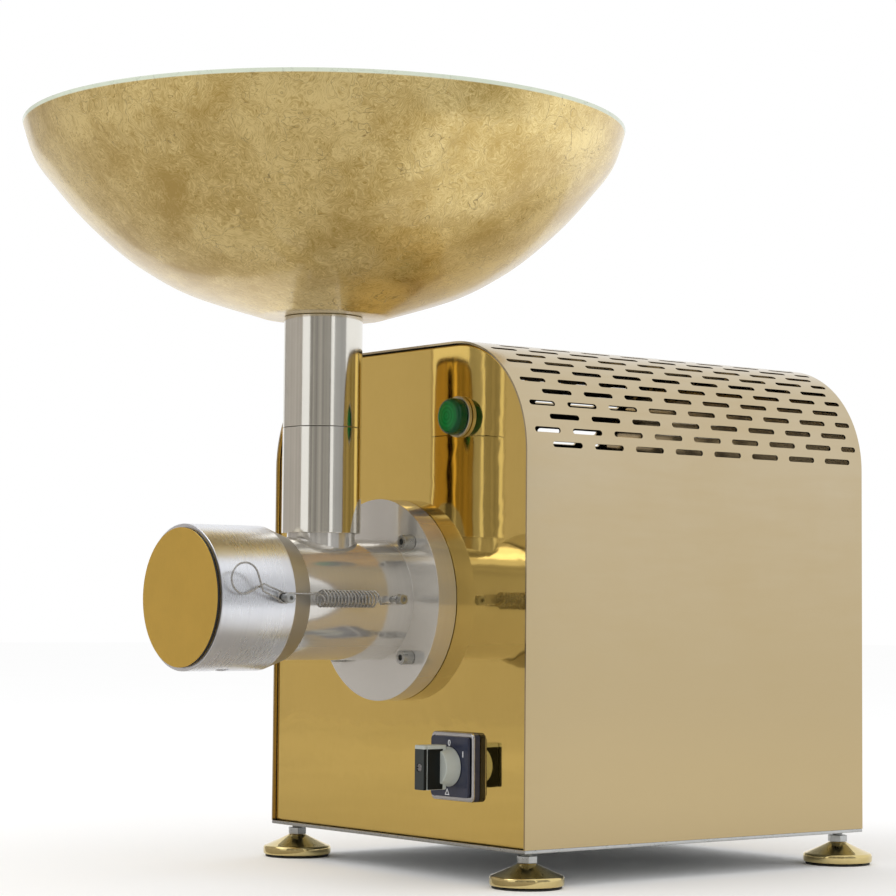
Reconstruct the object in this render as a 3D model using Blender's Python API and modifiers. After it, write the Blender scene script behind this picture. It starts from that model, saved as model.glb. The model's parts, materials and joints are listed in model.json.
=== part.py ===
"""Bench-top nut butter grinder: motor housing, grinding head, feed tube and hopper bowl."""
import math

import bmesh
import bpy
from mathutils import Matrix, Vector

mm = 0.001

# Shared clearances and overruns
gap = 0.3 * mm
overrun = 4 * mm
merge = 0.00001

# Levelling feet
rubber_height = 1.2 * mm
rubber_radius = 25 * mm
pad_rim_height = 7.4 * mm
pad_radius = 26.6 * mm
pad_cone_height = 8 * mm
pad_neck_radius = 7 * mm
foot_nut_height = 5 * mm
foot_nut_flats = 13 * mm
foot_stud_radius = 4 * mm
foot_exposed = 2.8 * mm
foot_side_inset = 14.5 * mm
foot_front_inset = 11.5 * mm
foot_rear_inset = 12 * mm
foot_socket_depth = 10 * mm
lock_nut_height = 6.5 * mm
stud_above_nut = 8 * mm
small_steps = 14
foot_height = rubber_height + pad_rim_height + pad_cone_height + foot_nut_height + foot_exposed

# Housing
body_width = 305 * mm
body_depth = 330 * mm
body_height = 353 * mm
top_radius = 82 * mm
sheet = 1.5 * mm
base_thickness = 2.5 * mm
panel_recess = 2.5 * mm
panel_thickness = 2 * mm
panel_return = 4 * mm
panel_edge = 1.6 * mm

# Vent slots along both rounded top edges
slot_length = 27 * mm
slot_height = 4 * mm
slot_pitch = 38.4 * mm
slot_margin = 5.6 * mm
slot_start = -4 * mm
slot_rows = 12
slot_row_turn = math.radians(6.98)
slot_first_turn = math.radians(4.2)
slot_shortest = 3 * mm

# Grinding head, on one axis above the bottom of the cover
axis_height = 169.4 * mm
flange_radius = 73 * mm
flange_thickness = 16.3 * mm
barrel_radius = 43.4 * mm
barrel_bore = 34 * mm
barrel_reach = 150 * mm
cap_radius = 50.6 * mm
cap_front = 182 * mm
cap_shoulder = 122.5 * mm
cap_tail = 106 * mm
cap_tail_radius = 44.8 * mm
cap_wall = 6 * mm
cap_chamber = 40 * mm
disc_radius = 48 * mm
disc_thickness = 2 * mm
outlet_width = 26 * mm
outlet_length = 10 * mm
head_sides = 36

# Burrs
burr_thickness = 9 * mm
burr_gap = 1 * mm
burr_radius = 32.5 * mm
burr_rim_clear = 0.5 * mm
burr_hub = 9 * mm
burr_feed_radius = 4.5 * mm
burr_feed_circle = 19 * mm
burr_feeds = 3
groove_count = 6
groove_width = 3 * mm
groove_depth = 1.6 * mm
lug_width = 8 * mm
lug_thickness = 4.6 * mm
lug_reach = 12 * mm

# Auger
auger_core = 13 * mm
auger_turns = 3
flight_thickness = 5 * mm
flight_clear = 0.8 * mm
flight_root = 2 * mm
auger_sides = 16
back_wall = 5 * mm
shaft_nose = 3 * mm

# Bolts round the flange
bolt_circle = 58 * mm
bolt_head_radius = 5 * mm
bolt_head_height = 9 * mm
bolt_shank_radius = 3 * mm
bolt_socket_radius = 2.4 * mm
bolt_socket_depth = 4 * mm
bolt_count = 4

# Studs for the safety spring
stud_head_radius = 3.5 * mm
stud_head_length = 4.5 * mm
stud_shank_radius = 2 * mm
stud_socket_radius = 1.7 * mm
stud_socket_depth = 2.2 * mm
stud_seat = 4 * mm
cap_stud_forward = 134.4 * mm
cap_stud_head = 62.5 * mm
barrel_stud_forward = 35.1 * mm
barrel_stud_head = 57.5 * mm

# Safety spring between the studs
spring_x = 51.6 * mm
spring_wire = 1.3 * mm
spring_radius = 5.6 * mm
spring_curls = 16
spring_pitch = 2.92 * mm
spring_first = 56.5 * mm
spring_points = 8
spring_run_in = 6 * mm
hook_clear = 0.6 * mm
hook_points = 8

# Ring clip on the cap stud
clip_wire = 1.3 * mm
clip_x = 53.6 * mm
clip_ring_radius = 10.5 * mm
clip_ring_forward = 167 * mm
clip_ring_rise = 13 * mm
clip_layer = 1.9 * mm
clip_ring_points = 16
clip_eye_points = 8

# Feed tube and hopper bowl
tube_forward = 66.5 * mm
tube_radius = 28.2 * mm
tube_wall = 3.6 * mm
neck_wall = 3 * mm
neck_top = 236 * mm
lower_tube_bottom = 216 * mm
tube_joint = 291 * mm
joint_line = 0.4 * mm
plug_depth = 26 * mm
plug_wall = 2.6 * mm
bowl_bottom = 371 * mm
bowl_rise = 135 * mm
bowl_radius = 216 * mm
bowl_floor_radius = 45 * mm
bowl_wall = 4.5 * mm
bowl_steps = 32
tube_top_above = 9 * mm
clamp_ring_radius = 38 * mm
clamp_ring_height = 5 * mm
tube_steps = 22
bowl_radius_shares = (0.449, 0.593, 0.699, 0.808, 0.895, 0.9615, 1.0)
bowl_rise_shares = (0.122, 0.241, 0.363, 0.523, 0.681, 0.822, 1.0)

# Rotary switch
switch_x = 76.5 * mm
switch_height = 53 * mm
switch_plate = 48 * mm
plate_thickness = 6 * mm
label_size = 42 * mm
label_thickness = 2 * mm
knob_radius = 14 * mm
knob_height = 12 * mm
grip_width = 11 * mm
grip_length = 31 * mm
grip_front = 35 * mm
grip_cover = 3 * mm
knob_screw_radius = 2.6 * mm
knob_screw_depth = 1.6 * mm
switch_body_size = 44 * mm
switch_body_depth = 48 * mm
switch_shaft_radius = 3.4 * mm
switch_hole = 5 * mm

# Pilot lamp
lamp_x = 75 * mm
lamp_below_top = 54 * mm
lamp_radius = 13.5 * mm
lamp_reach = 12 * mm
lamp_bezel_height = 2.2 * mm
lamp_bezel_radius = 14.6 * mm
lamp_body_radius = 10.8 * mm
lamp_body_depth = 38 * mm
lamp_nut_radius = 15 * mm
lamp_nut_height = 4 * mm
lamp_sides = 18

# Motor
bell_radius = 74 * mm
bell_thickness = 16 * mm
bell_boss_radius = 26 * mm
bell_boss_height = 8 * mm
stator_radius = 72 * mm
stator_bore = 44 * mm
stator_length = 132 * mm
rotor_radius = 43 * mm
rotor_length = 110 * mm
shaft_radius = 12 * mm
shaft_rear = 8 * mm
bearing_radius = 24 * mm
bearing_width = 11 * mm
fan_radius = 60 * mm
fan_hub = 20 * mm
fan_width = 18 * mm
fan_blades = 6
blade_thickness = 3 * mm
cowl_length = 34 * mm
cowl_wall = 1.6 * mm
cowl_inlet = 36 * mm
fan_clear = 4 * mm
motor_sides = 24
terminal_length = 70 * mm
terminal_width = 84 * mm
terminal_height = 34 * mm
terminal_embed = 8 * mm
terminal_lid = 3 * mm
capacitor_radius = 21 * mm
capacitor_length = 88 * mm
capacitor_x = 98 * mm
capacitor_height = 190 * mm
clip_band = 14 * mm
clip_band_wall = 2 * mm
bracket_thickness = 3 * mm
cradle_width = 104 * mm
cradle_length = 96 * mm
cradle_foot = 6 * mm
cradle_web = 12 * mm

# Dog that drives the auger
dog_width = 7 * mm
dog_length = 9 * mm

# Mains inlet on the rear panel
inlet_from_side = 60.5 * mm
inlet_height = 60 * mm
inlet_width = 50 * mm
inlet_tall = 28 * mm
inlet_proud = 3 * mm
inlet_body_width = 27 * mm
inlet_body_tall = 20 * mm
inlet_depth = 24 * mm
inlet_cavity_depth = 17 * mm
inlet_wall = 2.5 * mm
pin_width = 2 * mm
pin_tall = 4 * mm
pin_pitch = 7 * mm
pin_length = 15 * mm
pin_seat = 3 * mm

# Rear vent and screws
rear_slot_count = 6
rear_slot_length = 84 * mm
rear_slot_height = 4 * mm
rear_slot_pitch = 12 * mm
screw_head_radius = 4.2 * mm
screw_head_height = 2.4 * mm
screw_shank_radius = 1.8 * mm
screw_inset = 7 * mm
screw_side_height = 60 * mm
screw_upper_height = 210 * mm
screw_sides = 10

# The origin is the middle of the footprint, on the surface that the feet stand on
bowl_reach = tube_forward + bowl_radius
pad_reach = body_depth - foot_rear_inset + pad_radius
front_y = (bowl_reach - pad_reach) / 2
cover_z = foot_height + base_thickness
axis_z = cover_z + axis_height
tube_y = front_y - tube_forward
saddle_share = 0.55
tongue_share = 0.8
leg_share = 0.8
lens_face_share = 0.86
lens_edge = 1.5 * mm
half_width = body_width / 2
lamp_height = body_height - lamp_below_top
inlet_x = half_width - inlet_from_side
recess_end = bell_boss_height - panel_thickness
bore_start = recess_end + back_wall

for old in list(bpy.data.objects):
    bpy.data.objects.remove(old, do_unlink=True)

part_set = bpy.data.collections.new("nut_butter_grinder")
cutter_set = bpy.data.collections.new("cutters")
bpy.context.scene.collection.children.link(part_set)
bpy.context.scene.collection.children.link(cutter_set)


def material(name, color, roughness, metallic):
    """A plain Principled material."""
    made = bpy.data.materials.new(name)
    made.use_nodes = True
    shader = made.node_tree.nodes["Principled BSDF"]
    shader.inputs["Base Color"].default_value = (*color, 1)
    shader.inputs["Roughness"].default_value = roughness
    shader.inputs["Metallic"].default_value = metallic
    return made


def add(name, data, place=(0, 0, 0), turn=(0, 0, 0), look=None):
    """Link a new object, as a part when it has a look and as a cutter otherwise."""
    made = bpy.data.objects.new(name, data)
    made.location = place
    made.rotation_euler = turn
    if look is None:
        cutter_set.objects.link(made)
        made.hide_render = True
        made.display_type = "WIRE"
    else:
        part_set.objects.link(made)
        data.materials.append(look)
    return made


facing_front = (math.pi / 2, 0, 0)
facing_right = (0, math.pi / 2, 0)
facing_back = (-math.pi / 2, 0, 0)


def mesh_from(name, work, smooth=True):
    made = bpy.data.meshes.new(name)
    work.to_mesh(made)
    work.free()
    if smooth:
        made.shade_smooth()
        made.set_sharp_from_angle(angle=math.radians(35))
    return made


def block(name, size, place, look=None, turn=(0, 0, 0), edge=0):
    """A box about its own middle, with rounded edges when edge is given."""
    work = bmesh.new()
    bmesh.ops.create_cube(work, size=1)
    bmesh.ops.scale(work, verts=work.verts, vec=size)
    made = add(name, mesh_from(name, work, smooth=False), place, turn, look)
    if edge:
        soften(made, edge)
    return made


def soften(item, width, segments=1):
    bevel = item.modifiers.new("Edge", "BEVEL")
    bevel.width = width
    bevel.segments = segments
    bevel.limit_method = "ANGLE"


def rod(name, radius, length, place, look=None, turn=(0, 0, 0), sides=16, top=None):
    """A cylinder or cone that starts at place and runs along its own +Z."""
    work = bmesh.new()
    lift = Matrix.Translation((0, 0, length / 2))
    end = radius if top is None else top
    bmesh.ops.create_cone(work, cap_ends=True, segments=sides, radius1=radius, radius2=end,
                          depth=length, matrix=lift)
    return add(name, mesh_from(name, work), place, turn, look)


def turned(name, profile, place, look=None, turn=(0, 0, 0), closed=False, steps=32):
    """Turn a profile of (radius, height) pairs, outer side top to bottom, about its own Z."""
    work = bmesh.new()
    row = [work.verts.new((radius, 0, height)) for radius, height in profile]
    for first, second in zip(row, row[1:]):
        work.edges.new((first, second))
    if closed:
        work.edges.new((row[-1], row[0]))
    made = add(name, mesh_from(name, work, smooth=False), place, turn, look)
    screw = made.modifiers.new("Turn", "SCREW")
    screw.steps = steps
    screw.render_steps = steps
    screw.use_merge_vertices = True
    screw.merge_threshold = merge
    screw.use_smooth_shade = True
    return made


def ring(name, outer, inner, bottom, top, place, look=None, turn=(0, 0, 0), steps=32):
    loop = [(outer, top), (outer, bottom), (inner, bottom), (inner, top)]
    return turned(name, loop, place, look, turn, True, steps)


def cut(item, cutter, operation="DIFFERENCE"):
    step = item.modifiers.new(cutter.name, "BOOLEAN")
    step.operation = operation
    step.object = cutter
    return item


def wire(name, points, thickness, look):
    """One round wire through the points."""
    line = bpy.data.curves.new(name, "CURVE")
    line.dimensions = "3D"
    line.bevel_depth = thickness / 2
    line.bevel_resolution = 1
    line.use_fill_caps = True
    path = line.splines.new("POLY")
    path.points.add(len(points) - 1)
    for spot, point in zip(path.points, points):
        spot.co = (*point, 1)
    return add(name, line, look=look)


def least_gap(points, thickness):
    """The least space between stretches of a wire that aren't next to each other."""
    far = 6
    least = min((first - second).length for n, first in enumerate(points)
                for second in points[n + far:])
    return least - thickness


def front_point(x, forward, height):
    """World place of a point in front of the panel, above the bottom of the cover."""
    return Vector((x, front_y - forward, cover_z + height))


# Looks
gold_mirror = material("gold_mirror", (0.72, 0.5, 0.18), 0.12, 1)
gold_satin = material("gold_satin", (0.7, 0.58, 0.36), 0.32, 1)
gold_leaf = material("gold_leaf", (0.62, 0.44, 0.18), 0.38, 0.9)
gold_disc = material("gold_disc", (0.66, 0.44, 0.14), 0.35, 1)
polished = material("polished_aluminium", (0.8, 0.79, 0.77), 0.18, 1)
steel = material("zinc_steel", (0.62, 0.62, 0.6), 0.3, 1)
spring_steel = material("spring_steel", (0.55, 0.55, 0.53), 0.28, 1)
cast = material("cast_motor", (0.33, 0.35, 0.37), 0.6, 0.6)
black_plastic = material("black_plastic", (0.02, 0.02, 0.022), 0.45, 0)
grey_plastic = material("grey_plastic", (0.72, 0.73, 0.72), 0.4, 0)
label_grey = material("label_grey", (0.4, 0.46, 0.52), 0.45, 0)
green_lens = material("green_lens", (0.01, 0.3, 0.1), 0.12, 0)
rubber = material("rubber", (0.03, 0.03, 0.03), 0.8, 0)
pad_gold = material("pad_gold", (0.72, 0.52, 0.2), 0.16, 1)
stainless = material("stainless", (0.6, 0.6, 0.6), 0.25, 1)


def arch(inset, bottom, coarse=False):
    """Half outline of the housing from the bottom of its right side to the middle of its top."""
    radius = top_radius - inset
    middle_x = half_width - top_radius
    middle_z = cover_z + body_height - top_radius
    turns = [0, slot_first_turn - slot_row_turn / 2]
    turns += [turns[1] + slot_row_turn * (n + 1) for n in range(slot_rows)]
    turns.append(math.pi / 2)
    if coarse:
        turns = turns[::2] + [math.pi / 2]
    side = [(half_width - inset, bottom)]
    side += [(middle_x + radius * math.cos(t), middle_z + radius * math.sin(t)) for t in turns]
    return side


def outline(inset, bottom):
    """Closed outline of the housing seen from the front, left and right sides alike."""
    side = arch(inset, bottom, coarse=True)
    return side + [(-x, z) for x, z in reversed(side)]


def plate(name, inset, bottom, front, thickness, look=None):
    """A flat plate with the housing's outline, its front face at front."""
    work = bmesh.new()
    back = front + thickness
    row = [work.verts.new((x, back, z)) for x, z in outline(inset, bottom)]
    face = bmesh.ops.contextual_create(work, geom=row)["faces"]
    swept = bmesh.ops.extrude_face_region(work, geom=face)
    moved = [v for v in swept["geom"] if isinstance(v, bmesh.types.BMVert)]
    bmesh.ops.translate(work, verts=moved, vec=(0, -thickness, 0))
    bmesh.ops.recalc_face_normals(work, faces=work.faces)
    return add(name, mesh_from(name, work), look=look)


def build_cover():
    """The folded cover: sides, rounded edges and top in one sheet, with rows of vent slots."""
    work = bmesh.new()
    side = arch(0, cover_z)
    whole = side + [(-x, z) for x, z in reversed(side)]
    row = [work.verts.new((x, front_y - panel_recess, z)) for x, z in whole]
    edges = [work.edges.new(pair) for pair in zip(row, row[1:])]
    swept = bmesh.ops.extrude_edge_only(work, edges=edges)
    moved = [v for v in swept["geom"] if isinstance(v, bmesh.types.BMVert)]
    bmesh.ops.translate(work, verts=moved, vec=(0, panel_recess + body_depth, 0))
    bmesh.ops.recalc_face_normals(work, faces=work.faces)
    top = max(work.faces, key=lambda face: face.calc_center_median().z)
    if top.normal.z < 0:
        bmesh.ops.reverse_faces(work, faces=work.faces)
    cover = add("cover", mesh_from("cover", work), look=gold_satin)
    shell = cover.modifiers.new("Sheet", "SOLIDIFY")
    shell.thickness = sheet
    shell.offset = -1
    shell.use_even_offset = True
    cut(cover, slot_cutter())


def slot_cutter():
    work = bmesh.new()
    middle = Vector((half_width - top_radius, 0, cover_z + body_height - top_radius))
    for row in range(slot_rows):
        turn = slot_first_turn + row * slot_row_turn
        outward = Vector((math.cos(turn), 0, math.sin(turn)))
        centre = slot_start + (row % 2) * slot_pitch / 2
        while centre - slot_length / 2 < body_depth - slot_margin:
            low = max(centre - slot_length / 2, slot_margin)
            high = min(centre + slot_length / 2, body_depth - slot_margin)
            centre += slot_pitch
            if high - low < slot_shortest:
                continue
            for hand in (1, -1):
                spot = middle + outward * top_radius
                spot = Vector((spot.x * hand, front_y + (low + high) / 2, spot.z))
                place = Matrix.Translation(spot) @ Matrix.Rotation(-turn * hand, 4, "Y")
                size = Matrix.Diagonal((2 * overrun, high - low, slot_height, 1))
                bmesh.ops.create_cube(work, size=1, matrix=place @ size)
    return add("vent_cutter", mesh_from("vent_cutter", work, smooth=False))


def round_hole(name, x, height, radius, front, depth, sides=24):
    """A cutter along Y through a panel whose face is at front."""
    place = (x, front + depth + overrun, cover_z + height)
    return rod(name, radius, depth + 2 * overrun, place, turn=facing_front, sides=sides)


def bolt_spots(height, circle):
    """Places round the head's axis, at 45 degrees."""
    for n in range(bolt_count):
        turn = math.radians(45) + n * math.tau / bolt_count
        yield circle * math.cos(turn), height + circle * math.sin(turn)


def build_panels():
    fit = sheet + gap
    bottom = cover_z + gap
    front = plate("front_panel", fit, bottom, front_y, panel_return, gold_mirror)
    soften(front, panel_edge)
    hollow = plate("front_hollow", fit + panel_thickness, bottom + panel_thickness,
                   front_y + panel_thickness, panel_return)
    cut(front, hollow)
    drill_front(front)
    rear_front = front_y + body_depth - panel_return
    rear = plate("rear_panel", fit, bottom, rear_front, panel_return, gold_satin)
    cut(rear, plate("rear_hollow", fit + panel_thickness, bottom + panel_thickness,
                    rear_front - panel_thickness, panel_return))
    back = front_y + body_depth
    for n in range(rear_slot_count):
        height = axis_z + (n - (rear_slot_count - 1) / 2) * rear_slot_pitch
        size = (rear_slot_length, 2 * overrun, rear_slot_height)
        cut(rear, block("rear_slot_%d" % n, size, (0, back, height)))
    hole = (inlet_body_width + 2 * gap, 2 * overrun, inlet_body_tall + 2 * gap)
    cut(rear, block("inlet_hole", hole, (inlet_x, back, cover_z + inlet_height)))
    for n, (x, height) in enumerate(rear_screw_spots()):
        cut(rear, round_hole("rear_screw_hole_%d" % n, x, height, screw_shank_radius + gap,
                             back - panel_thickness, panel_thickness, screw_sides))


def drill_front(front):
    spots = [("pilot_hole", 0, axis_height, bell_boss_radius + gap)]
    spots.append(("switch_hole", switch_x, switch_height, switch_hole))
    spots.append(("lamp_hole", lamp_x, lamp_height, lamp_body_radius + gap))
    for n, (x, height) in enumerate(bolt_spots(axis_height, bolt_circle)):
        spots.append(("flange_hole_%d" % n, x, height, bolt_shank_radius + gap))
    for name, x, height, radius in spots:
        sides = 8 if radius < switch_hole else motor_sides
        cut(front, round_hole(name, x, height, radius, front_y, panel_thickness, sides))


def rear_screw_spots():
    side = half_width - sheet - gap - screw_inset
    for x in (-side, side):
        for height in (screw_side_height, screw_upper_height):
            yield x, height


def build_base():
    """The base plate under the whole housing, with the nuts of the feet welded on inside."""
    middle = front_y - panel_recess + (panel_recess + body_depth) / 2
    size = (body_width, panel_recess + body_depth, base_thickness)
    base = block("base_plate", size, (0, middle, foot_height + base_thickness / 2), steel)
    corner = foot_nut_flats / 2 / math.cos(math.radians(30))
    for n, (x, y) in enumerate(foot_spots()):
        nut = rod("weld_nut_%d" % n, corner, base_thickness / 2 + lock_nut_height,
                  (x, y, cover_z - base_thickness / 2), sides=6)
        cut(base, nut, "UNION")
        place = (x, y, foot_height - overrun)
        radius = foot_stud_radius + gap
        cut(base, rod("foot_hole_%d" % n, radius, lock_nut_height + base_thickness + 2 * overrun,
                      place, sides=12))


def foot_spots():
    side = half_width - foot_side_inset
    for x in (-side, side):
        for y in (front_y + foot_front_inset, front_y + body_depth - foot_rear_inset):
            yield x, y


def build_feet():
    """Each foot: rubber and pad, and a threaded stud with its hex that turns in the base."""
    hex_radius = foot_nut_flats / 2 / math.cos(math.radians(30))
    top = rubber_height + pad_rim_height + pad_cone_height
    for n, (x, y) in enumerate(foot_spots(), 1):
        rod("foot_rubber_%d" % n, rubber_radius, rubber_height, (x, y, 0), rubber, sides=small_steps)
        socket = foot_stud_radius + gap
        floor = top - foot_socket_depth
        profile = [(0, floor), (socket, floor), (socket, top), (pad_neck_radius, top)] + pad_side()
        profile.append((0, rubber_height + gap))
        turned("foot_pad_%d" % n, profile, (x, y, 0), pad_gold, steps=small_steps)
        stud_top = cover_z + lock_nut_height + stud_above_nut
        stud = rod("foot_stud_%d" % n, foot_stud_radius, stud_top - floor - gap,
                   (x, y, floor + gap), steel, sides=8)
        nut = rod("foot_hex_%d" % n, hex_radius, foot_nut_height, (x, y, top + gap), sides=6)
        cut(stud, nut, "UNION")


pad_side_shares = ((0.45, 0.6), (0.9, 0.12))
pad_edge_share = 0.25


def pad_side():
    """The pad's outer side: a hollow cone down to a rounded rim."""
    rim_top = rubber_height + pad_rim_height
    span = pad_radius - pad_neck_radius
    side = [(pad_neck_radius + span * out, rim_top + pad_cone_height * up)
            for out, up in pad_side_shares]
    edge = pad_rim_height * pad_edge_share
    side += [(pad_radius, rim_top - edge), (pad_radius, rubber_height + gap + edge)]
    side.append((pad_radius - edge, rubber_height + gap))
    return side


def build_motor():
    """The motor, face-mounted behind the front panel on the head's axis."""
    face = panel_thickness + gap
    at_axis = (0, front_y, axis_z)
    bell_end = face + bell_thickness
    bolt_depth = bell_thickness - cowl_wall

    boss = bell_boss_height
    bell = [(bell_boss_radius, -face + boss), (bell_boss_radius, -face), (bell_radius, -face),
            (bell_radius, -bell_end), (bearing_radius + gap, -bell_end),
            (bearing_radius + gap, -bell_end + bearing_width + gap),
            (shaft_radius + 2 * gap, -bell_end + bearing_width + gap),
            (shaft_radius + 2 * gap, -face + boss)]
    front_bell = turned("motor_front_bell", bell, at_axis, cast, facing_front, True, motor_sides)
    for n, (x, height) in enumerate(bolt_spots(axis_height, bolt_circle)):
        place = (x, front_y + face + bolt_depth, cover_z + height)
        cut(front_bell, rod("bell_hole_%d" % n, bolt_shank_radius + gap, bolt_depth + overrun, place,
                            turn=facing_front, sides=8))
    stator_back = bell_end + gap + stator_length
    ring("motor_stator", stator_radius, stator_bore, -stator_back, -bell_end - gap, at_axis, cast,
         facing_front, motor_sides)
    rear_front = stator_back + gap
    rear_end = rear_front + bell_thickness
    bell = [(bell_radius, -rear_front), (bell_radius, -rear_end),
            (shaft_radius + 2 * gap, -rear_end),
            (shaft_radius + 2 * gap, -rear_front - bearing_width - gap),
            (bearing_radius + gap, -rear_front - bearing_width - gap),
            (bearing_radius + gap, -rear_front)]
    turned("motor_rear_bell", bell, at_axis, cast, facing_front, True, motor_sides)
    bearing_inner = shaft_radius + 2 * gap
    ring("bearing_front", bearing_radius, bearing_inner, -bell_end, -bell_end + bearing_width,
         at_axis, steel, facing_front, small_steps)
    ring("bearing_rear", bearing_radius, bearing_inner, -rear_front - bearing_width, -rear_front,
         at_axis, steel, facing_front, small_steps)

    mid = (bell_end + stator_back) / 2
    hub_front = rear_end + fan_clear
    shaft_end = hub_front + fan_width + shaft_rear
    nose = dog_seat()
    shaft = [(0, nose), (shaft_radius, nose), (shaft_radius, -mid + rotor_length / 2),
             (rotor_radius, -mid + rotor_length / 2), (rotor_radius, -mid - rotor_length / 2),
             (shaft_radius, -mid - rotor_length / 2), (shaft_radius, -shaft_end), (0, -shaft_end)]
    rotor = turned("motor_rotor", shaft, at_axis, steel, facing_front, False, small_steps)
    cut(rotor, block("shaft_slot", (2 * shaft_radius + overrun, dog_length * 2, dog_width + 2 * gap),
                     (0, front_y - nose, axis_z)))
    build_fan(hub_front, at_axis)
    cowl_front = rear_end + gap
    cowl_back = cowl_front + cowl_length
    skin = bell_radius
    cowl = [(skin, -cowl_front), (skin, -cowl_back), (cowl_inlet, -cowl_back),
            (cowl_inlet, -cowl_back + cowl_wall), (skin - cowl_wall, -cowl_back + cowl_wall),
            (skin - cowl_wall, -cowl_front)]
    turned("fan_cowl", cowl, at_axis, black_plastic, facing_front, True, motor_sides)
    build_motor_fittings(bell_end, stator_back, cowl_back)


def dog_seat():
    """How far in front of the panel the motor shaft ends."""
    return bore_start + shaft_nose


def build_fan(hub_front, at_axis):
    hub = ring("motor_fan", fan_hub, shaft_radius + gap, -hub_front - fan_width, -hub_front,
               at_axis, black_plastic, facing_front, small_steps)
    middle = hub_front + fan_width / 2
    span = fan_radius - fan_hub / 2 - shaft_radius / 2
    centre = (fan_radius + fan_hub / 2 + shaft_radius / 2) / 2
    for n in range(fan_blades):
        turn = n * math.tau / fan_blades
        place = (centre * math.cos(turn), front_y + middle, axis_z + centre * math.sin(turn))
        blade = block("fan_blade_%d" % n, (span, fan_width - 2 * gap, blade_thickness), place,
                      turn=(0, -turn, 0))
        cut(hub, blade, "UNION")


def build_motor_fittings(bell_end, stator_back, cowl_back):
    middle = front_y + (bell_end + stator_back) / 2
    drop = axis_height - stator_radius
    saddle = stator_radius * saddle_share
    tall = drop + saddle
    web = block("motor_cradle", (cradle_width, cradle_length, cradle_foot),
                (0, middle, cover_z + gap + cradle_foot / 2), cast)
    for n, end in enumerate((-1, 1)):
        place = (0, middle + end * (cradle_length - cradle_web) / 2, cover_z + gap + tall / 2)
        post = block("cradle_post_%d" % n, (cradle_width, cradle_web, tall), place)
        cut(web, post, "UNION")
    cut(web, rod("saddle_cutter", stator_radius + gap, cradle_length + 2 * overrun,
                 (0, middle + cradle_length / 2 + overrun, axis_z), turn=facing_front,
                 sides=motor_sides))
    window = drop - cradle_foot - cradle_web
    cut(web, block("cradle_window", (cradle_width - 4 * cradle_web, cradle_length + 2 * overrun, window),
                   (0, middle, cover_z + cradle_foot + cradle_web / 2 + window / 2)))
    lid_z = axis_z + stator_radius - terminal_embed + terminal_height
    box_middle = lid_z - terminal_height / 2
    box = block("terminal_box", (terminal_width, terminal_length, terminal_height),
                (0, middle, box_middle), cast)
    cut(box, rod("terminal_seat", stator_radius + gap, terminal_length + 2 * overrun,
                 (0, middle + terminal_length / 2 + overrun, axis_z), turn=facing_front,
                 sides=motor_sides))
    lid = (terminal_width + 2 * terminal_lid, terminal_length + 2 * terminal_lid, terminal_lid)
    cut(box, block("terminal_lid", lid, (0, middle, lid_z)), "UNION")
    reach = math.sqrt(stator_radius ** 2 - (capacitor_height - axis_height) ** 2)
    start = middle - capacitor_length / 2
    rod("run_capacitor", capacitor_radius, capacitor_length,
        (capacitor_x, start + capacitor_length, cover_z + capacitor_height), grey_plastic,
        facing_front, 20)
    band = capacitor_radius + gap
    strap = ring("capacitor_clip", band + clip_band_wall, band, -clip_band / 2, clip_band / 2,
                 (capacitor_x, middle, cover_z + capacitor_height), steel, facing_front, 20)
    arm = capacitor_x - band - reach
    cut(strap, block("clip_arm", (arm, clip_band, bracket_thickness),
                     (capacitor_x - band - arm / 2 - gap, middle, cover_z + capacitor_height)),
        "UNION")
    cut(strap, rod("clip_seat", stator_radius + gap, clip_band + 2 * overrun,
                   (0, middle + clip_band / 2 + overrun, axis_z), turn=facing_front,
                   sides=motor_sides))


def cut_along_axis(item, name, radius, start, length, x=0, height=axis_height, sides=8):
    """Cut a round hole that runs from start, in front of the panel, forward for length."""
    place = (x, front_y - start, cover_z + height)
    cut(item, rod(name, radius, length, place, turn=facing_front, sides=sides))


def build_barrel():
    """Barrel, mounting flange and feed neck in one casting."""
    at_axis = (0, front_y, axis_z)
    shaft_hole = shaft_radius + 2 * gap
    boss_hole = bell_boss_radius + gap
    loop = [(barrel_radius, barrel_reach), (barrel_radius, flange_thickness),
            (flange_radius, flange_thickness), (flange_radius, gap), (boss_hole, gap),
            (boss_hole, recess_end), (shaft_hole, recess_end), (shaft_hole, bore_start),
            (barrel_bore, bore_start), (barrel_bore, barrel_reach)]
    barrel = turned("barrel", loop, at_axis, polished, facing_front, True, head_sides)
    neck_radius = tube_radius - tube_wall - gap
    start = axis_z + barrel_bore + gap
    neck = rod("feed_neck", neck_radius, cover_z + neck_top - start, (0, tube_y, start),
               sides=tube_steps)
    cut(barrel, neck, "UNION")
    cut(barrel, rod("neck_bore", neck_radius - neck_wall, neck_top - axis_height + overrun,
                    (0, tube_y, axis_z), sides=tube_steps))
    for n, (x, height) in enumerate(bolt_spots(axis_height, bolt_circle)):
        cut_along_axis(barrel, "barrel_bolt_hole_%d" % n, bolt_shank_radius + gap, -overrun,
                       flange_thickness + 2 * overrun, x, height)
    lug_outer = cap_chamber - burr_rim_clear
    deep = lug_reach + 2 * gap + overrun
    slot = block("lug_slots", (2 * (lug_outer + gap), deep, lug_width + 2 * gap),
                 (0, front_y - barrel_reach - overrun + deep / 2, axis_z))
    cut(barrel, slot)
    cut(barrel, rod("barrel_stud_hole", stud_shank_radius + gap, barrel_radius,
                    (barrel_radius - stud_seat - gap, front_y - barrel_stud_forward, axis_z),
                    turn=facing_right, sides=12))


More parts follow.
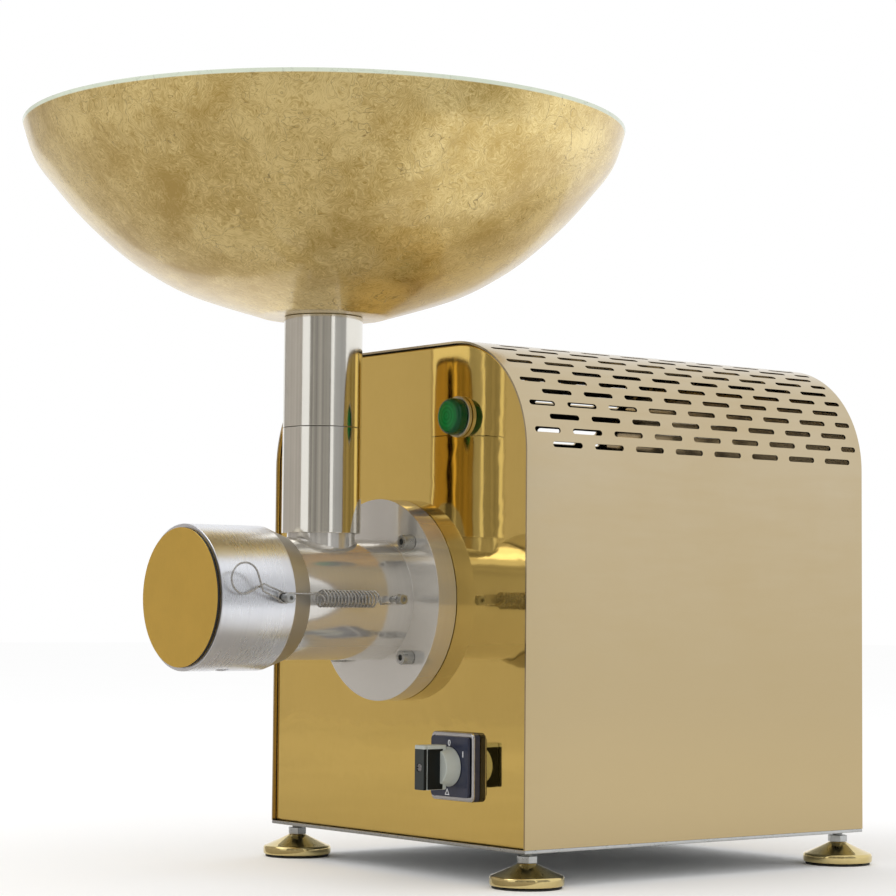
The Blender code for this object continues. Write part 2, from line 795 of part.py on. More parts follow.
def build_bolts():
    depth = panel_thickness + gap + bell_thickness - cowl_wall - 2 * gap
    for n, (x, height) in enumerate(bolt_spots(axis_height, bolt_circle)):
        back = front_y + depth
        length = depth + flange_thickness + gap
        name = "flange_bolt_%d" % (n + 1)
        bolt = rod(name, bolt_shank_radius, length + bolt_head_height / 4,
                   (x, back, cover_z + height), steel, facing_front, 8)
        head = (x, back - length, cover_z + height)
        cut(bolt, rod(name + "_head", bolt_head_radius, bolt_head_height, head,
                      turn=facing_front, sides=12), "UNION")
        socket = (x, back - length - bolt_head_height + bolt_socket_depth, cover_z + height)
        cut(bolt, rod(name + "_socket", bolt_socket_radius, bolt_socket_depth + overrun, socket,
                      turn=facing_front, sides=6))


def build_stud(name, seat_x, head_x, forward):
    shank_end = head_x - stud_head_length
    place = (seat_x, front_y - forward, axis_z)
    shank = shank_end - seat_x + stud_head_length / 4
    stud = rod(name, stud_shank_radius, shank, place, steel, facing_right, 8)
    head = (shank_end, front_y - forward, axis_z)
    cut(stud, rod(name + "_head", stud_head_radius, stud_head_length, head, turn=facing_right,
                  sides=12), "UNION")
    socket = (head_x - stud_socket_depth, front_y - forward, axis_z)
    cut(stud, rod(name + "_socket", stud_socket_radius, stud_socket_depth + overrun, socket,
                  turn=facing_right, sides=6))


def build_cap():
    """The screwed head cap with its cheeks, its disc and the keyed fixed burr behind it."""
    at_axis = (0, front_y, axis_z)
    thread = barrel_radius + gap
    roof = cap_front - cap_wall
    side = [(0, cap_front), (cap_radius, cap_front), (cap_radius, cap_shoulder),
            (cap_tail_radius, cap_tail), (thread, cap_tail), (thread, barrel_reach + gap),
            (cap_chamber, barrel_reach + gap), (cap_chamber, roof), (0, roof)]
    cap = turned("head_cap", side, at_axis, polished, facing_front, steps=head_sides)
    outlet = (outlet_width, outlet_length, cap_radius)
    cut(cap, block("outlet_cutter", outlet, (0, front_y - outlet_middle, axis_z - cap_radius)))
    cut(cap, rod("cap_stud_hole", stud_shank_radius + gap, cap_radius,
                 (cap_radius - stud_seat - gap, front_y - cap_stud_forward, axis_z),
                 turn=facing_right, sides=12))
    front = cap_front + gap
    disc = [(0, front + disc_thickness), (disc_radius, front + disc_thickness),
            (disc_radius, front), (0, front)]
    turned("cap_disc", disc, at_axis, gold_disc, facing_front, steps=head_sides)

    burr_back = barrel_reach + gap + burr_thickness + burr_gap
    burr_side = cap_chamber - burr_rim_clear
    flat = [(0, roof - gap), (burr_side, roof - gap), (burr_side, burr_back), (0, burr_back)]
    fixed = turned("fixed_burr", flat, at_axis, stainless, facing_front, steps=head_sides)
    reach = burr_back - barrel_reach + lug_reach
    for hand, name in ((1, "lug_right"), (-1, "lug_left")):
        place = (hand * (burr_side - lug_thickness / 2 - burr_rim_clear),
                 front_y - barrel_reach + lug_reach - (reach + groove_depth) / 2, axis_z)
        cut(fixed, block(name, (lug_thickness, reach + groove_depth, lug_width), place), "UNION")
    cut(fixed, grooves("fixed_grooves", burr_back, burr_radius - groove_width))


def grooves(name, face, reach):
    """Radial grinding grooves, as one cutter across the burr's face."""
    work = bmesh.new()
    inner = burr_hub + groove_width
    for n in range(groove_count):
        turn = Matrix.Rotation((n + 0.5) * math.tau / groove_count, 4, "Y")
        shift = Matrix.Translation(((inner + reach) / 2, 0, 0))
        size = Matrix.Diagonal((reach - inner, 2 * groove_depth, groove_width, 1))
        bmesh.ops.create_cube(work, size=1, matrix=turn @ shift @ size)
    return add(name, mesh_from(name, work, smooth=False), (0, front_y - face, axis_z))


def build_auger():
    """Auger with its drive tongue and its spiral flight, and the turning burr on its nose."""
    at_axis = (0, front_y, axis_z)
    tail = dog_seat() + gap
    nose = barrel_reach + gap + burr_thickness
    core_end = barrel_reach
    side = [(0, nose), (burr_hub, nose), (burr_hub, core_end), (auger_core, core_end),
            (auger_core, tail), (0, tail)]
    auger = turned("auger", side, at_axis, stainless, facing_front, steps=auger_sides)
    tongue = (2 * shaft_radius * tongue_share, 2 * (dog_length - gap), dog_width)
    cut(auger, block("auger_tongue", tongue, (0, front_y - tail, axis_z)), "UNION")
    cut(auger, flight_cutter(tail, core_end), "UNION")
    back = barrel_reach + gap
    turning = ring("turning_burr", burr_radius, burr_hub + gap, back, back + burr_thickness,
                   at_axis, stainless, facing_front, auger_sides)
    for n in range(burr_feeds):
        turn = n * math.tau / burr_feeds
        x = burr_feed_circle * math.cos(turn)
        height = axis_height + burr_feed_circle * math.sin(turn)
        cut_along_axis(turning, "burr_feed_%d" % n, burr_feed_radius, back - overrun,
                       burr_thickness + 2 * overrun, x, height, 10)


def flight_cutter(tail, core_end):
    work = bmesh.new()
    low = auger_core - flight_root
    high = barrel_bore - flight_clear
    start = tail + flight_thickness
    rise = (core_end - flight_thickness - gap - start) / (auger_turns * auger_sides)
    corners = [(low, 0, start), (high, 0, start), (high, 0, start + flight_thickness),
               (low, 0, start + flight_thickness)]
    face = work.faces.new([work.verts.new(corner) for corner in corners])
    bmesh.ops.spin(work, geom=[face, *face.edges, *face.verts], cent=(0, 0, 0), axis=(0, 0, 1),
                   dvec=(0, 0, rise), angle=auger_turns * math.tau,
                   steps=auger_turns * auger_sides, use_duplicate=False)
    bmesh.ops.recalc_face_normals(work, faces=work.faces)
    return add("flight", mesh_from("flight", work, smooth=False), (0, front_y, axis_z),
               facing_front)


def build_spring():
    """Coil spring between the cap stud and the barrel stud, hooked round each."""
    hook = stud_shank_radius + hook_clear + spring_wire / 2
    last = spring_first + spring_curls * spring_pitch
    points = hook_path(barrel_stud_forward, hook, -1)
    steps = spring_points * spring_curls
    quarter = spring_points // 2
    run_in = [run_in_point(n / quarter, hook, spring_first, -1) for n in range(quarter, 0, -1)]
    coil = []
    for n in range(steps + 1):
        turn = n * math.tau / spring_points
        forward = spring_first + n * spring_pitch / spring_points
        coil.append(front_point(spring_x + spring_radius * math.cos(turn), forward,
                                axis_height + spring_radius * math.sin(turn)))
    run_out = [run_in_point((n + 1) / quarter, hook, last, 1) for n in range(quarter)]
    end_hook = hook_path(cap_stud_forward, hook, 1)
    points = points + run_in + coil + run_out + end_hook[::-1]
    wire("cap_spring", points, spring_wire, spring_steel)
    print("cap_spring least gap mm", round(least_gap(points, spring_wire) / mm, 2))


def run_in_point(share, hook, start, hand):
    """A point on the quarter turn in which the coil closes in to its straight lead."""
    turn = hand * share * math.pi / 2
    radius = spring_radius + (hook - spring_radius) * share
    return front_point(spring_x + radius * math.cos(turn), start + hand * spring_run_in * share,
                       axis_height + radius * math.sin(turn))


def hook_path(forward, hook, hand):
    """An open hook round a stud, from its free end to where its lead leaves."""
    path = []
    for n in range(hook_points + 1):
        turn = hand * math.pi / 2 + math.radians(270) * (1 - n / hook_points) * -1
        path.append(front_point(spring_x, forward + hand * hook * math.cos(turn),
                                axis_height + hook * math.sin(turn)))
    return path


def build_clip():
    """Hairpin ring clip that hangs on the cap stud."""
    eye = stud_shank_radius + hook_clear + clip_wire / 2
    reach = clip_ring_forward - cap_stud_forward
    tilt = math.atan2(clip_ring_rise, reach)
    far = math.hypot(reach, clip_ring_rise)
    half_open = math.radians(38)
    flat = []
    for n in range(clip_eye_points + 1):
        turn = math.pi / 2 + math.radians(200) * (1 - n / clip_eye_points)
        flat.append((eye * math.cos(turn), eye * math.sin(turn), 0))
    near = far - clip_ring_radius - clip_wire
    flat.append((near * leg_share, eye * leg_share, 0))
    sweep = math.tau - 2 * half_open
    for n in range(clip_ring_points + 1):
        share = n / clip_ring_points
        turn = math.pi + half_open + sweep * share
        flat.append((far + clip_ring_radius * math.cos(turn), clip_ring_radius * math.sin(turn),
                     clip_layer * share))
    flat.append((near * leg_share, -eye * leg_share, clip_layer))
    for n in range(clip_eye_points + 1):
        turn = -math.pi / 2 - math.radians(200) * n / clip_eye_points
        flat.append((eye * math.cos(turn), eye * math.sin(turn), clip_layer))
    points = []
    for along, up, side in flat:
        forward = along * math.cos(tilt) - up * math.sin(tilt)
        rise = along * math.sin(tilt) + up * math.cos(tilt)
        points.append(front_point(clip_x + side, cap_stud_forward + forward, axis_height + rise))
    wire("hitch_clip", points, clip_wire, spring_steel)
    print("hitch_clip least gap mm", round(least_gap(points, clip_wire) / mm, 2))


def build_tubes():
    bore = tube_radius - tube_wall
    at_tube = (0, tube_y, cover_z)
    ring("lower_feed_tube", tube_radius, bore, lower_tube_bottom, tube_joint, at_tube, polished,
         steps=tube_steps)
    plug = bore - gap
    passage = plug - plug_wall
    top = bowl_bottom + tube_top_above
    bottom = tube_joint + joint_line
    seat = bowl_bottom - gap
    stem = tube_radius - tube_wall
    loop = [(stem, top), (stem, seat), (tube_radius, seat), (tube_radius, bottom), (plug, bottom),
            (plug, tube_joint - plug_depth), (passage, tube_joint - plug_depth), (passage, top)]
    turned("upper_feed_tube", loop, at_tube, polished, closed=True, steps=tube_steps)
    floor = bowl_floor_radius
    outer = [(stem + gap, 0), (floor, 0)]
    outer += [(bowl_radius * out, bowl_rise * up)
              for out, up in zip(bowl_radius_shares, bowl_rise_shares)]
    inner = [(radius - bowl_wall * lean, height + bowl_wall * math.sqrt(1 - lean * lean))
             for radius, height, lean in wall_leans(outer[2:])]
    inner[-1] = (outer[-1][0] - bowl_wall, outer[-1][1])
    loop = [(stem + gap, bowl_wall), (floor, bowl_wall)] + inner + outer[::-1]
    loop = [(radius, bowl_bottom + height) for radius, height in loop]
    turned("bowl", loop, at_tube, gold_leaf, closed=True, steps=bowl_steps)
    low = bowl_bottom + bowl_wall + gap
    ring("bowl_clamp_ring", clamp_ring_radius, stem + gap, low, low + clamp_ring_height, at_tube,
         steel, steps=tube_steps)


def wall_leans(points):
    """How far the wall leans outward at each point: 0 for a flat floor, 1 for an upright wall."""
    for n, (radius, height) in enumerate(points):
        before = points[max(n - 1, 0)]
        after = points[min(n + 1, len(points) - 1)]
        run = math.hypot(after[0] - before[0], after[1] - before[1])
        yield radius, height, (after[1] - before[1]) / run


def build_switch():
    """Rotary switch: plate, label, knob with a bar grip, and the body behind the panel."""
    x, height = switch_x, cover_z + switch_height
    front = gap + plate_thickness
    bore_length = 2 * overrun + plate_thickness + label_thickness
    plate_item = block("switch_plate", (switch_plate, plate_thickness, switch_plate),
                       (x, front_y - gap - plate_thickness / 2, height), polished,
                       edge=panel_edge / 2)
    label_front = front + gap + label_thickness
    label = block("switch_label", (label_size, label_thickness, label_size),
                  (x, front_y - front - gap - label_thickness / 2, height), label_grey)
    for item, name in ((plate_item, "plate_bore"), (label, "label_bore")):
        cut(item, rod(name, switch_hole, bore_length, (x, front_y + overrun, height),
                      turn=facing_front, sides=16))
    knob_back = label_front + gap
    knob = rod("switch_knob", knob_radius, knob_height, (x, front_y - knob_back, height),
               grey_plastic, facing_front, 24, top=knob_radius - grip_cover / 2)
    grip_back = knob_back + knob_height / 2
    grip_end = grip_front - grip_cover
    bar = (grip_width, grip_end - grip_back, grip_length)
    cut(knob, block("grip_bar", bar, (x, front_y - (grip_back + grip_end) / 2, height)), "UNION")
    shaft = switch_body_depth / 2
    cut(knob, rod("switch_shaft", switch_shaft_radius, shaft + knob_back + knob_height / 2,
                  (x, front_y + shaft, height), turn=facing_front, sides=12), "UNION")
    face = block("grip_cover", (grip_width, grip_cover - gap, grip_length),
                 (x, front_y - grip_end - gap - (grip_cover - gap) / 2, height), black_plastic,
                 edge=grip_cover / 4)
    screw_hole = (x, front_y - grip_front + knob_screw_depth, height)
    cut(face, rod("knob_screw_seat", knob_screw_radius + gap, overrun, screw_hole,
                  turn=facing_front, sides=12))
    rod("knob_screw", knob_screw_radius, knob_screw_depth - 2 * gap,
        (x, front_y - grip_front + knob_screw_depth - gap, height), steel, facing_front, 12)
    body_front = panel_thickness + gap
    body = block("switch_body", (switch_body_size, switch_body_depth, switch_body_size),
                 (x, front_y + body_front + switch_body_depth / 2, height), black_plastic)
    cut(body, rod("switch_body_bore", switch_shaft_radius + gap, shaft + gap + overrun,
                  (x, front_y + shaft + gap, height), turn=facing_front, sides=12))


def build_lamp():
    place = (lamp_x, front_y, cover_z + lamp_height)
    rim = gap + lamp_bezel_height
    dome = [(0, lamp_reach), (lamp_radius * lens_face_share, lamp_reach), (lamp_radius, lamp_reach - lens_edge),
            (lamp_radius, rim + gap), (0, rim + gap)]
    turned("lamp_lens", dome, place, green_lens, facing_front, steps=lamp_sides)
    stem = [(0, rim), (lamp_bezel_radius, rim), (lamp_bezel_radius, gap), (lamp_body_radius, gap),
            (lamp_body_radius, -lamp_body_depth), (0, -lamp_body_depth)]
    turned("lamp_body", stem, place, steel, facing_front, steps=lamp_sides)
    nut = panel_thickness + gap
    ring("lamp_nut", lamp_nut_radius, lamp_body_radius + gap, -nut - lamp_nut_height, -nut, place,
         steel, facing_front, lamp_sides)


def build_inlet():
    """Mains inlet socket on the rear panel, with its three pins."""
    back = front_y + body_depth
    height = cover_z + inlet_height
    face = block("power_inlet", (inlet_width, inlet_proud, inlet_tall),
                 (inlet_x, back + gap + inlet_proud / 2, height), black_plastic)
    deep = inlet_depth + inlet_proud / 2
    cut(face, block("inlet_body", (inlet_body_width, deep, inlet_body_tall),
                    (inlet_x, back + gap + inlet_proud / 2 - deep / 2, height)), "UNION")
    mouth = (inlet_body_width - 2 * inlet_wall, inlet_cavity_depth + overrun,
             inlet_body_tall - 2 * inlet_wall)
    end = back + gap + inlet_proud
    cut(face, block("inlet_mouth", mouth, (inlet_x, end - inlet_cavity_depth + mouth[1] / 2, height)))
    floor = end - inlet_cavity_depth
    for n, (side, rise) in enumerate(((-1, -1), (0, 1), (1, -1)), 1):
        x = inlet_x + side * pin_pitch
        z = height + rise * pin_tall / 2
        cut(face, block("inlet_pin_%d" % n, (pin_width, pin_length, pin_tall),
                        (x, floor - pin_seat + pin_length / 2, z)), "UNION")


def build_rear_screws():
    back = front_y + body_depth
    for n, (x, height) in enumerate(rear_screw_spots(), 1):
        length = panel_thickness + gap + overrun + screw_head_height / 2
        name = "rear_screw_%d" % n
        screw = rod(name, screw_shank_radius, length,
                    (x, back - panel_thickness - overrun, cover_z + height), steel,
                    facing_back, screw_sides)
        cut(screw, rod(name + "_head", screw_head_radius, screw_head_height,
                       (x, back + gap, cover_z + height), turn=facing_back, sides=screw_sides),
            "UNION")


outlet_middle = barrel_reach + 2 * gap + outlet_length / 2 + gap
build_base()
build_feet()
build_cover()
build_panels()
build_motor()
build_barrel()
build_bolts()
build_stud("cap_stud", cap_radius - stud_seat, cap_stud_head, cap_stud_forward)
build_stud("barrel_stud", barrel_radius - stud_seat, barrel_stud_head, barrel_stud_forward)
build_cap()
build_auger()
build_spring()
build_clip()
build_tubes()
build_switch()
build_lamp()
build_inlet()
build_rear_screws()
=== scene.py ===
# Bench-top nut butter grinder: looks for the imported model
import json
from math import atan2, copysign, cos, hypot, pi, radians, sin, tau

import bmesh
import bpy
from mathutils import Matrix, Vector


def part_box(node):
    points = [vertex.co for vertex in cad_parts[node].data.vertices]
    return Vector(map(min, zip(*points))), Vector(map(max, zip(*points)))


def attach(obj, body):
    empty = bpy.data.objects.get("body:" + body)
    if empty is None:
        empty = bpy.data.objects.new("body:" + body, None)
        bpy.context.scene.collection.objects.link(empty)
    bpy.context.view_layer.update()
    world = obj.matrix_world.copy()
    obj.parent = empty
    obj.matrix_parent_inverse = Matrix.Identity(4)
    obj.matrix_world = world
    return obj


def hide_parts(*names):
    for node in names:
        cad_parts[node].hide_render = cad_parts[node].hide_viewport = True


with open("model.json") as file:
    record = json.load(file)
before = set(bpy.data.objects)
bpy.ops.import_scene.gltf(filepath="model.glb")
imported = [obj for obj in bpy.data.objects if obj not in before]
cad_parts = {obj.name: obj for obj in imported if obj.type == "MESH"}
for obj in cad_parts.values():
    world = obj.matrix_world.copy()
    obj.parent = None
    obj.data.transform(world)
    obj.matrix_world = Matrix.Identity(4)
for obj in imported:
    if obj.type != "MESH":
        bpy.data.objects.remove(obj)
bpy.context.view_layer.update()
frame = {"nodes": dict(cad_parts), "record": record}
print("frame loaded")

def middleOf(node):
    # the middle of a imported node's box
    low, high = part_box(node)
    return [(low[n] + high[n]) / 2 for n in range(3)]


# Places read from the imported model
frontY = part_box("front_panel")[0].y
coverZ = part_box("cover")[0].z
axisZ = middleOf("head_cap")[2]
tubeY = middleOf("lower_feed_tube")[1]
lampX, lampZ = 0.075, coverZ + 0.299


# Material helpers
def addNode(tree, kind, inputs=None, **settings):
    node = tree.nodes.new(kind)
    for key, value in settings.items():
        setattr(node, key, value)
    for key, value in (inputs or {}).items():
        if isinstance(value, bpy.types.NodeSocket):
            tree.links.new(value, node.inputs[key])
        else:
            node.inputs[key].default_value = value
    return node


def startGroup(name, *numbers):
    # a group that takes coordinates and numbers and gives back one value
    group = bpy.data.node_groups.new(name, "ShaderNodeTree")
    group.interface.new_socket("Vector", in_out="INPUT", socket_type="NodeSocketVector")
    for label in numbers:
        group.interface.new_socket(label, in_out="INPUT", socket_type="NodeSocketFloat")
    group.interface.new_socket("Value", in_out="OUTPUT", socket_type="NodeSocketFloat")
    return group, group.nodes.new("NodeGroupInput").outputs, group.nodes.new("NodeGroupOutput")


def noise(tree, coords, scale, **inputs):
    return addNode(tree, "ShaderNodeTexNoise", {"Vector": coords, "Scale": scale, **inputs}).outputs[0]


def stretched(tree, coords, scale, turn=(0, 0, 0)):
    # coordinates scaled along the axes, so that a noise runs in lines
    inputs = {"Vector": coords, "Scale": scale, "Rotation": turn}
    return addNode(tree, "ShaderNodeMapping", inputs).outputs[0]


def calc(tree, operation, first, second):
    return addNode(tree, "ShaderNodeMath", {0: first, 1: second}, operation=operation).outputs[0]


def ramp(tree, value, start, stop, low=0.0, high=1.0):
    # what value does from start to stop, turned into a number from low to high
    inputs = {"Value": value, "From Min": start, "From Max": stop, "To Min": low, "To Max": high}
    return addNode(tree, "ShaderNodeMapRange", inputs).outputs[0]


def axisOf(tree, coords, number):
    return addNode(tree, "ShaderNodeSeparateXYZ", {"Vector": coords}).outputs[number]


def scuffGroup():
    # soft blotches and fine hairlines, for rubbed metal and plastic
    group, given, end = startGroup("rubbedSurface", "Blotch Scale", "Hair Scale", "Hair Share")
    blotch = noise(group, given["Vector"], given["Blotch Scale"], Detail=4.0, Roughness=0.6)
    squash = stretched(group, given["Vector"], (1.0, 0.06, 0.35), (0.3, 0.5, 0.9))
    hair = noise(group, squash, given["Hair Scale"], Detail=2.0)
    mixed = addNode(group, "ShaderNodeMix", {"Factor": given["Hair Share"], "A": blotch, "B": hair})
    group.links.new(mixed.outputs[0], end.inputs["Value"])
    return group


def ringGroup():
    # fine rings round an axis, as a lathe leaves them
    group, given, end = startGroup("turningMarks", "Scale")
    squash = stretched(group, given["Vector"], (0.01, 1.0, 0.01))
    lines = noise(group, squash, given["Scale"], Detail=3.0, Roughness=0.7)
    group.links.new(lines, end.inputs["Value"])
    return group


rubbed = scuffGroup()
lathed = ringGroup()


def startMaterial(name, color, roughness, metallic, **sockets):
    made = bpy.data.materials.new(name)
    made.use_nodes = True
    shader = made.node_tree.nodes["Principled BSDF"]
    shader.inputs["Base Color"].default_value = (*color, 1)
    shader.inputs["Roughness"].default_value = roughness
    shader.inputs["Metallic"].default_value = metallic
    for key, value in sockets.items():
        shader.inputs[key.replace("_", " ")].default_value = value
    coords = made.node_tree.nodes.new("ShaderNodeTexCoord")
    return made, made.node_tree, shader, coords.outputs["Object"]


def spread(tree, mask, low, high):
    # a noise mask turned into a number between low and high
    return ramp(tree, mask, 0.3, 0.7, low, high)


def tint(tree, factor, first, second):
    colors = {0: factor, 6: (*first, 1), 7: (*second, 1)}
    return addNode(tree, "ShaderNodeMix", colors, data_type="RGBA").outputs[2]


def tintOver(tree, factor, under, over):
    # over is laid on a colour that comes from other nodes
    colors = {0: factor, 6: under, 7: (*over, 1)}
    return addNode(tree, "ShaderNodeMix", colors, data_type="RGBA").outputs[2]


def addBump(tree, shader, height, distance, strength=1.0, under=None):
    node = addNode(tree, "ShaderNodeBump", {"Height": height, "Distance": distance,
                   "Strength": strength})
    if under is not None:
        tree.links.new(under, node.inputs["Normal"])
    tree.links.new(node.outputs[0], shader.inputs["Normal"])
    return node.outputs[0]


def useScuffs(tree, coords, blotch=30.0, hair=400.0, share=0.4):
    inputs = {"Vector": coords, "Blotch Scale": blotch, "Hair Scale": hair, "Hair Share": share}
    return addNode(tree, "ShaderNodeGroup", inputs, node_tree=rubbed).outputs["Value"]


def paint(tree, shader, color, gloss):
    tree.links.new(color, shader.inputs["Base Color"])
    tree.links.new(gloss, shader.inputs["Roughness"])


def paintByMask(tree, shader, mask, dark, light, rough):
    # rough is the (low, high) roughness
    paint(tree, shader, tint(tree, mask, dark, light), spread(tree, mask, *rough))


def metalMaterial(name, dark, light, rough, blotch, hair, share):
    made, tree, shader, coords = startMaterial(name, light, rough[0], 1.0)
    mask = useScuffs(tree, coords, blotch, hair, share)
    paintByMask(tree, shader, mask, dark, light, rough)
    addBump(tree, shader, mask, 0.00002)
    return made


def plasticMaterial(name, dark, light, rough, specular):
    made, tree, shader, coords = startMaterial(name, light, rough[0], 0.0,
                                               Specular_IOR_Level=specular)
    mask = useScuffs(tree, coords, 60.0, 500.0, 0.25)
    paintByMask(tree, shader, mask, dark, light, rough)
    addBump(tree, shader, noise(tree, coords, 1500.0), 0.00005, 0.6)
    return made


mirrorSheet = dict(dark=(0.82, 0.585, 0.165), light=(0.94, 0.675, 0.215), rough=(0.03, 0.07),
                   waveScale=4.0, waveHeight=0.0008, rippleScale=20.0, rippleHeight=0.00017)


def mirrorMaterial():
    # bright gold sheet with the slow waves of thin metal
    s = mirrorSheet
    made, tree, shader, coords = startMaterial("mirrorGoldSheet", s["light"], s["rough"][0], 1.0)
    mask = useScuffs(tree, coords, 14.0, 300.0, 0.3)
    paintByMask(tree, shader, mask, s["dark"], s["light"], s["rough"])
    wave = noise(tree, coords, s["waveScale"], Detail=1.0)
    ripple = noise(tree, coords, s["rippleScale"], Detail=2.0, Distortion=0.8)
    slow = addBump(tree, shader, wave, s["waveHeight"])
    addBump(tree, shader, ripple, s["rippleHeight"], under=slow)
    return made


satinSheet = dict(warm=(0.5, 0.39, 0.215), cool=(0.6, 0.52, 0.38), coolRise=(0.05, 0.3),
                  rough=(0.1, 0.17), waveScale=4.0, waveHeight=0.0008)


def satinMaterial():
    # champagne gold sheet, a little cooler towards the top
    s = satinSheet
    made, tree, shader, coords = startMaterial("satinGoldSheet", s["warm"], s["rough"][0], 1.0)
    low, high = s["coolRise"]
    height = ramp(tree, axisOf(tree, coords, 2), coverZ + low, coverZ + high)
    mask = useScuffs(tree, coords, 9.0, 260.0, 0.35)
    color = tint(tree, calc(tree, "MULTIPLY", height, mask), s["warm"], s["cool"])
    paint(tree, shader, color, spread(tree, mask, *s["rough"]))
    slow = addBump(tree, shader, noise(tree, coords, s["waveScale"], Detail=1.0), s["waveHeight"])
    addBump(tree, shader, mask, 0.00001, under=slow)
    return made


# the crease colour is painted shade and the bright colour is painted highlight on the leaf
leafBowl = dict(gold=(0.56, 0.38, 0.1), bright=(0.95, 0.76, 0.34), creaseAndShade=(0.27, 0.16, 0.04),
                rim=(0.62, 0.68, 0.55), rimHeight=0.0024, rimBlur=0.0006, metallic=0.85,
                rough=(0.24, 0.4), warpScale=28.0, cloudScale=13.0, wideScale=17.0, foldWidth=0.009,
                patches=(0.46, 0.54), creaseShadeShare=0.7, shine=(0.21, 0.37), strokeScale=240.0,
                strokeShape=(1.0, 0.2, 1.0),
                strokeTurns=((0.3, 0.2, 0.6), (1.1, -0.5, 2.1), (0.4, 1.2, -0.9)))


def leafMaterial(rimZ):
    # crumpled gold leaf under clear plastic, bare and clear at the rim; its creases carry painted shade
    # and its bright streaks are painted highlights
    s = leafBowl
    made, tree, shader, coords = startMaterial("goldLeafBowl", s["gold"], 0.3, s["metallic"],
                                               Coat_Weight=0.7, Coat_Roughness=0.13)
    warp = addNode(tree, "ShaderNodeTexNoise", {"Vector": coords, "Scale": s["warpScale"],
                   "Detail": 3.0})
    bent = addNode(tree, "ShaderNodeVectorMath", {0: warp.outputs["Color"], 1: coords, 2: coords},
                   operation="MULTIPLY_ADD").outputs[0]
    cells = addNode(tree, "ShaderNodeTexVoronoi", {"Vector": bent, "Scale": s["wideScale"]},
                    feature="DISTANCE_TO_EDGE")
    fold = ramp(tree, cells.outputs["Distance"], 0.0, s["foldWidth"], 1.0, 0.0)
    cloud = noise(tree, coords, s["cloudScale"], Detail=5.0, Roughness=0.65)
    creaseAndShade = calc(tree, "MULTIPLY", fold, ramp(tree, cloud, *s["patches"]))
    strokes = None
    for turn in s["strokeTurns"]:
        squash = stretched(tree, bent, s["strokeShape"], turn)
        grain = noise(tree, squash, s["strokeScale"], Detail=2.0)
        strokes = grain if strokes is None else calc(tree, "MAXIMUM", strokes, grain)
    # painted highlight: leaf tinted bright where cloud and strokes meet
    shine = ramp(tree, calc(tree, "MULTIPLY", cloud, strokes), *s["shine"])
    leaf = tint(tree, shine, s["gold"], s["bright"])
    # painted shade: the creases are tinted dark
    leaf = tintOver(tree, calc(tree, "MULTIPLY", creaseAndShade, s["creaseShadeShare"]), leaf, s["creaseAndShade"])
    clearFrom = rimZ - s["rimHeight"]
    rim = ramp(tree, axisOf(tree, coords, 2), clearFrom - s["rimBlur"], clearFrom)
    tree.links.new(ramp(tree, rim, 0.0, 1.0, s["metallic"], 0.0), shader.inputs["Metallic"])
    paint(tree, shader, tintOver(tree, rim, leaf, s["rim"]), spread(tree, strokes, *s["rough"]))
    deep = addBump(tree, shader, creaseAndShade, 0.0005, 0.7)
    addBump(tree, shader, strokes, 0.0003, 0.6, under=deep)
    return made


def turnedMaterial(name, dark, light, rough, metallic, ringScale, shoulder=None):
    # polished turned metal; shoulder is a (low y, high y, colour) band left matte
    made, tree, shader, coords = startMaterial(name, light, rough[0], metallic)
    mask = useScuffs(tree, coords, 26.0, 380.0, 0.1)
    rings = addNode(tree, "ShaderNodeGroup", {"Vector": coords, "Scale": ringScale},
                    node_tree=lathed).outputs[0]
    wide = ramp(tree, calc(tree, "MULTIPLY", mask, rings), 0.0, 0.6)
    color = tint(tree, wide, dark, light)
    gloss = ramp(tree, wide, 0.0, 1.0, rough[1], rough[0])
    if shoulder:
        low, high, matte = shoulder
        along = axisOf(tree, coords, 1)
        after = calc(tree, "GREATER_THAN", along, low)
        before = calc(tree, "LESS_THAN", along, high)
        band = calc(tree, "MULTIPLY", after, before)
        color = tintOver(tree, band, color, matte)
        gloss = addNode(tree, "ShaderNodeMix", {"Factor": band, "A": gloss, "B": 0.5}).outputs[0]
    paint(tree, shader, color, gloss)
    addBump(tree, shader, rings, 0.000001)
    return made


greenLens = dict(dark=(0.001, 0.12, 0.02), light=(0.003, 0.165, 0.03), edge=(0.0, 0.045, 0.012),
                 edgeReach=(0.0085, 0.0118), rough=(0.08, 0.18), ringScale=110.0)


def lensMaterial():
    # deep green lens with faint rings round its middle
    s = greenLens
    made, tree, shader, coords = startMaterial("greenLens", (0.0, 0.1, 0.02), 0.1, 0.0,
                                               Specular_IOR_Level=0.25, Coat_Weight=0.25,
                                               Coat_Roughness=0.04)
    centred = addNode(tree, "ShaderNodeMapping", {"Vector": coords,
                      "Location": (-lampX, 0, -lampZ)}).outputs[0]
    rings = addNode(tree, "ShaderNodeTexWave", {"Vector": centred, "Scale": s["ringScale"],
                    "Distortion": 0.6}, wave_type="RINGS", rings_direction="Y").outputs["Fac"]
    inner = tint(tree, rings, s["dark"], s["light"])
    flat = addNode(tree, "ShaderNodeVectorMath", {0: centred, 1: (1, 0, 1)}, operation="MULTIPLY")
    reach = addNode(tree, "ShaderNodeVectorMath", {0: flat.outputs[0]}, operation="LENGTH")
    edge = ramp(tree, reach.outputs["Value"], *s["edgeReach"])
    gloss = spread(tree, useScuffs(tree, coords), *s["rough"])
    paint(tree, shader, tintOver(tree, edge, inner, s["edge"]), gloss)
    addBump(tree, shader, rings, 0.00005, 0.5)
    return made


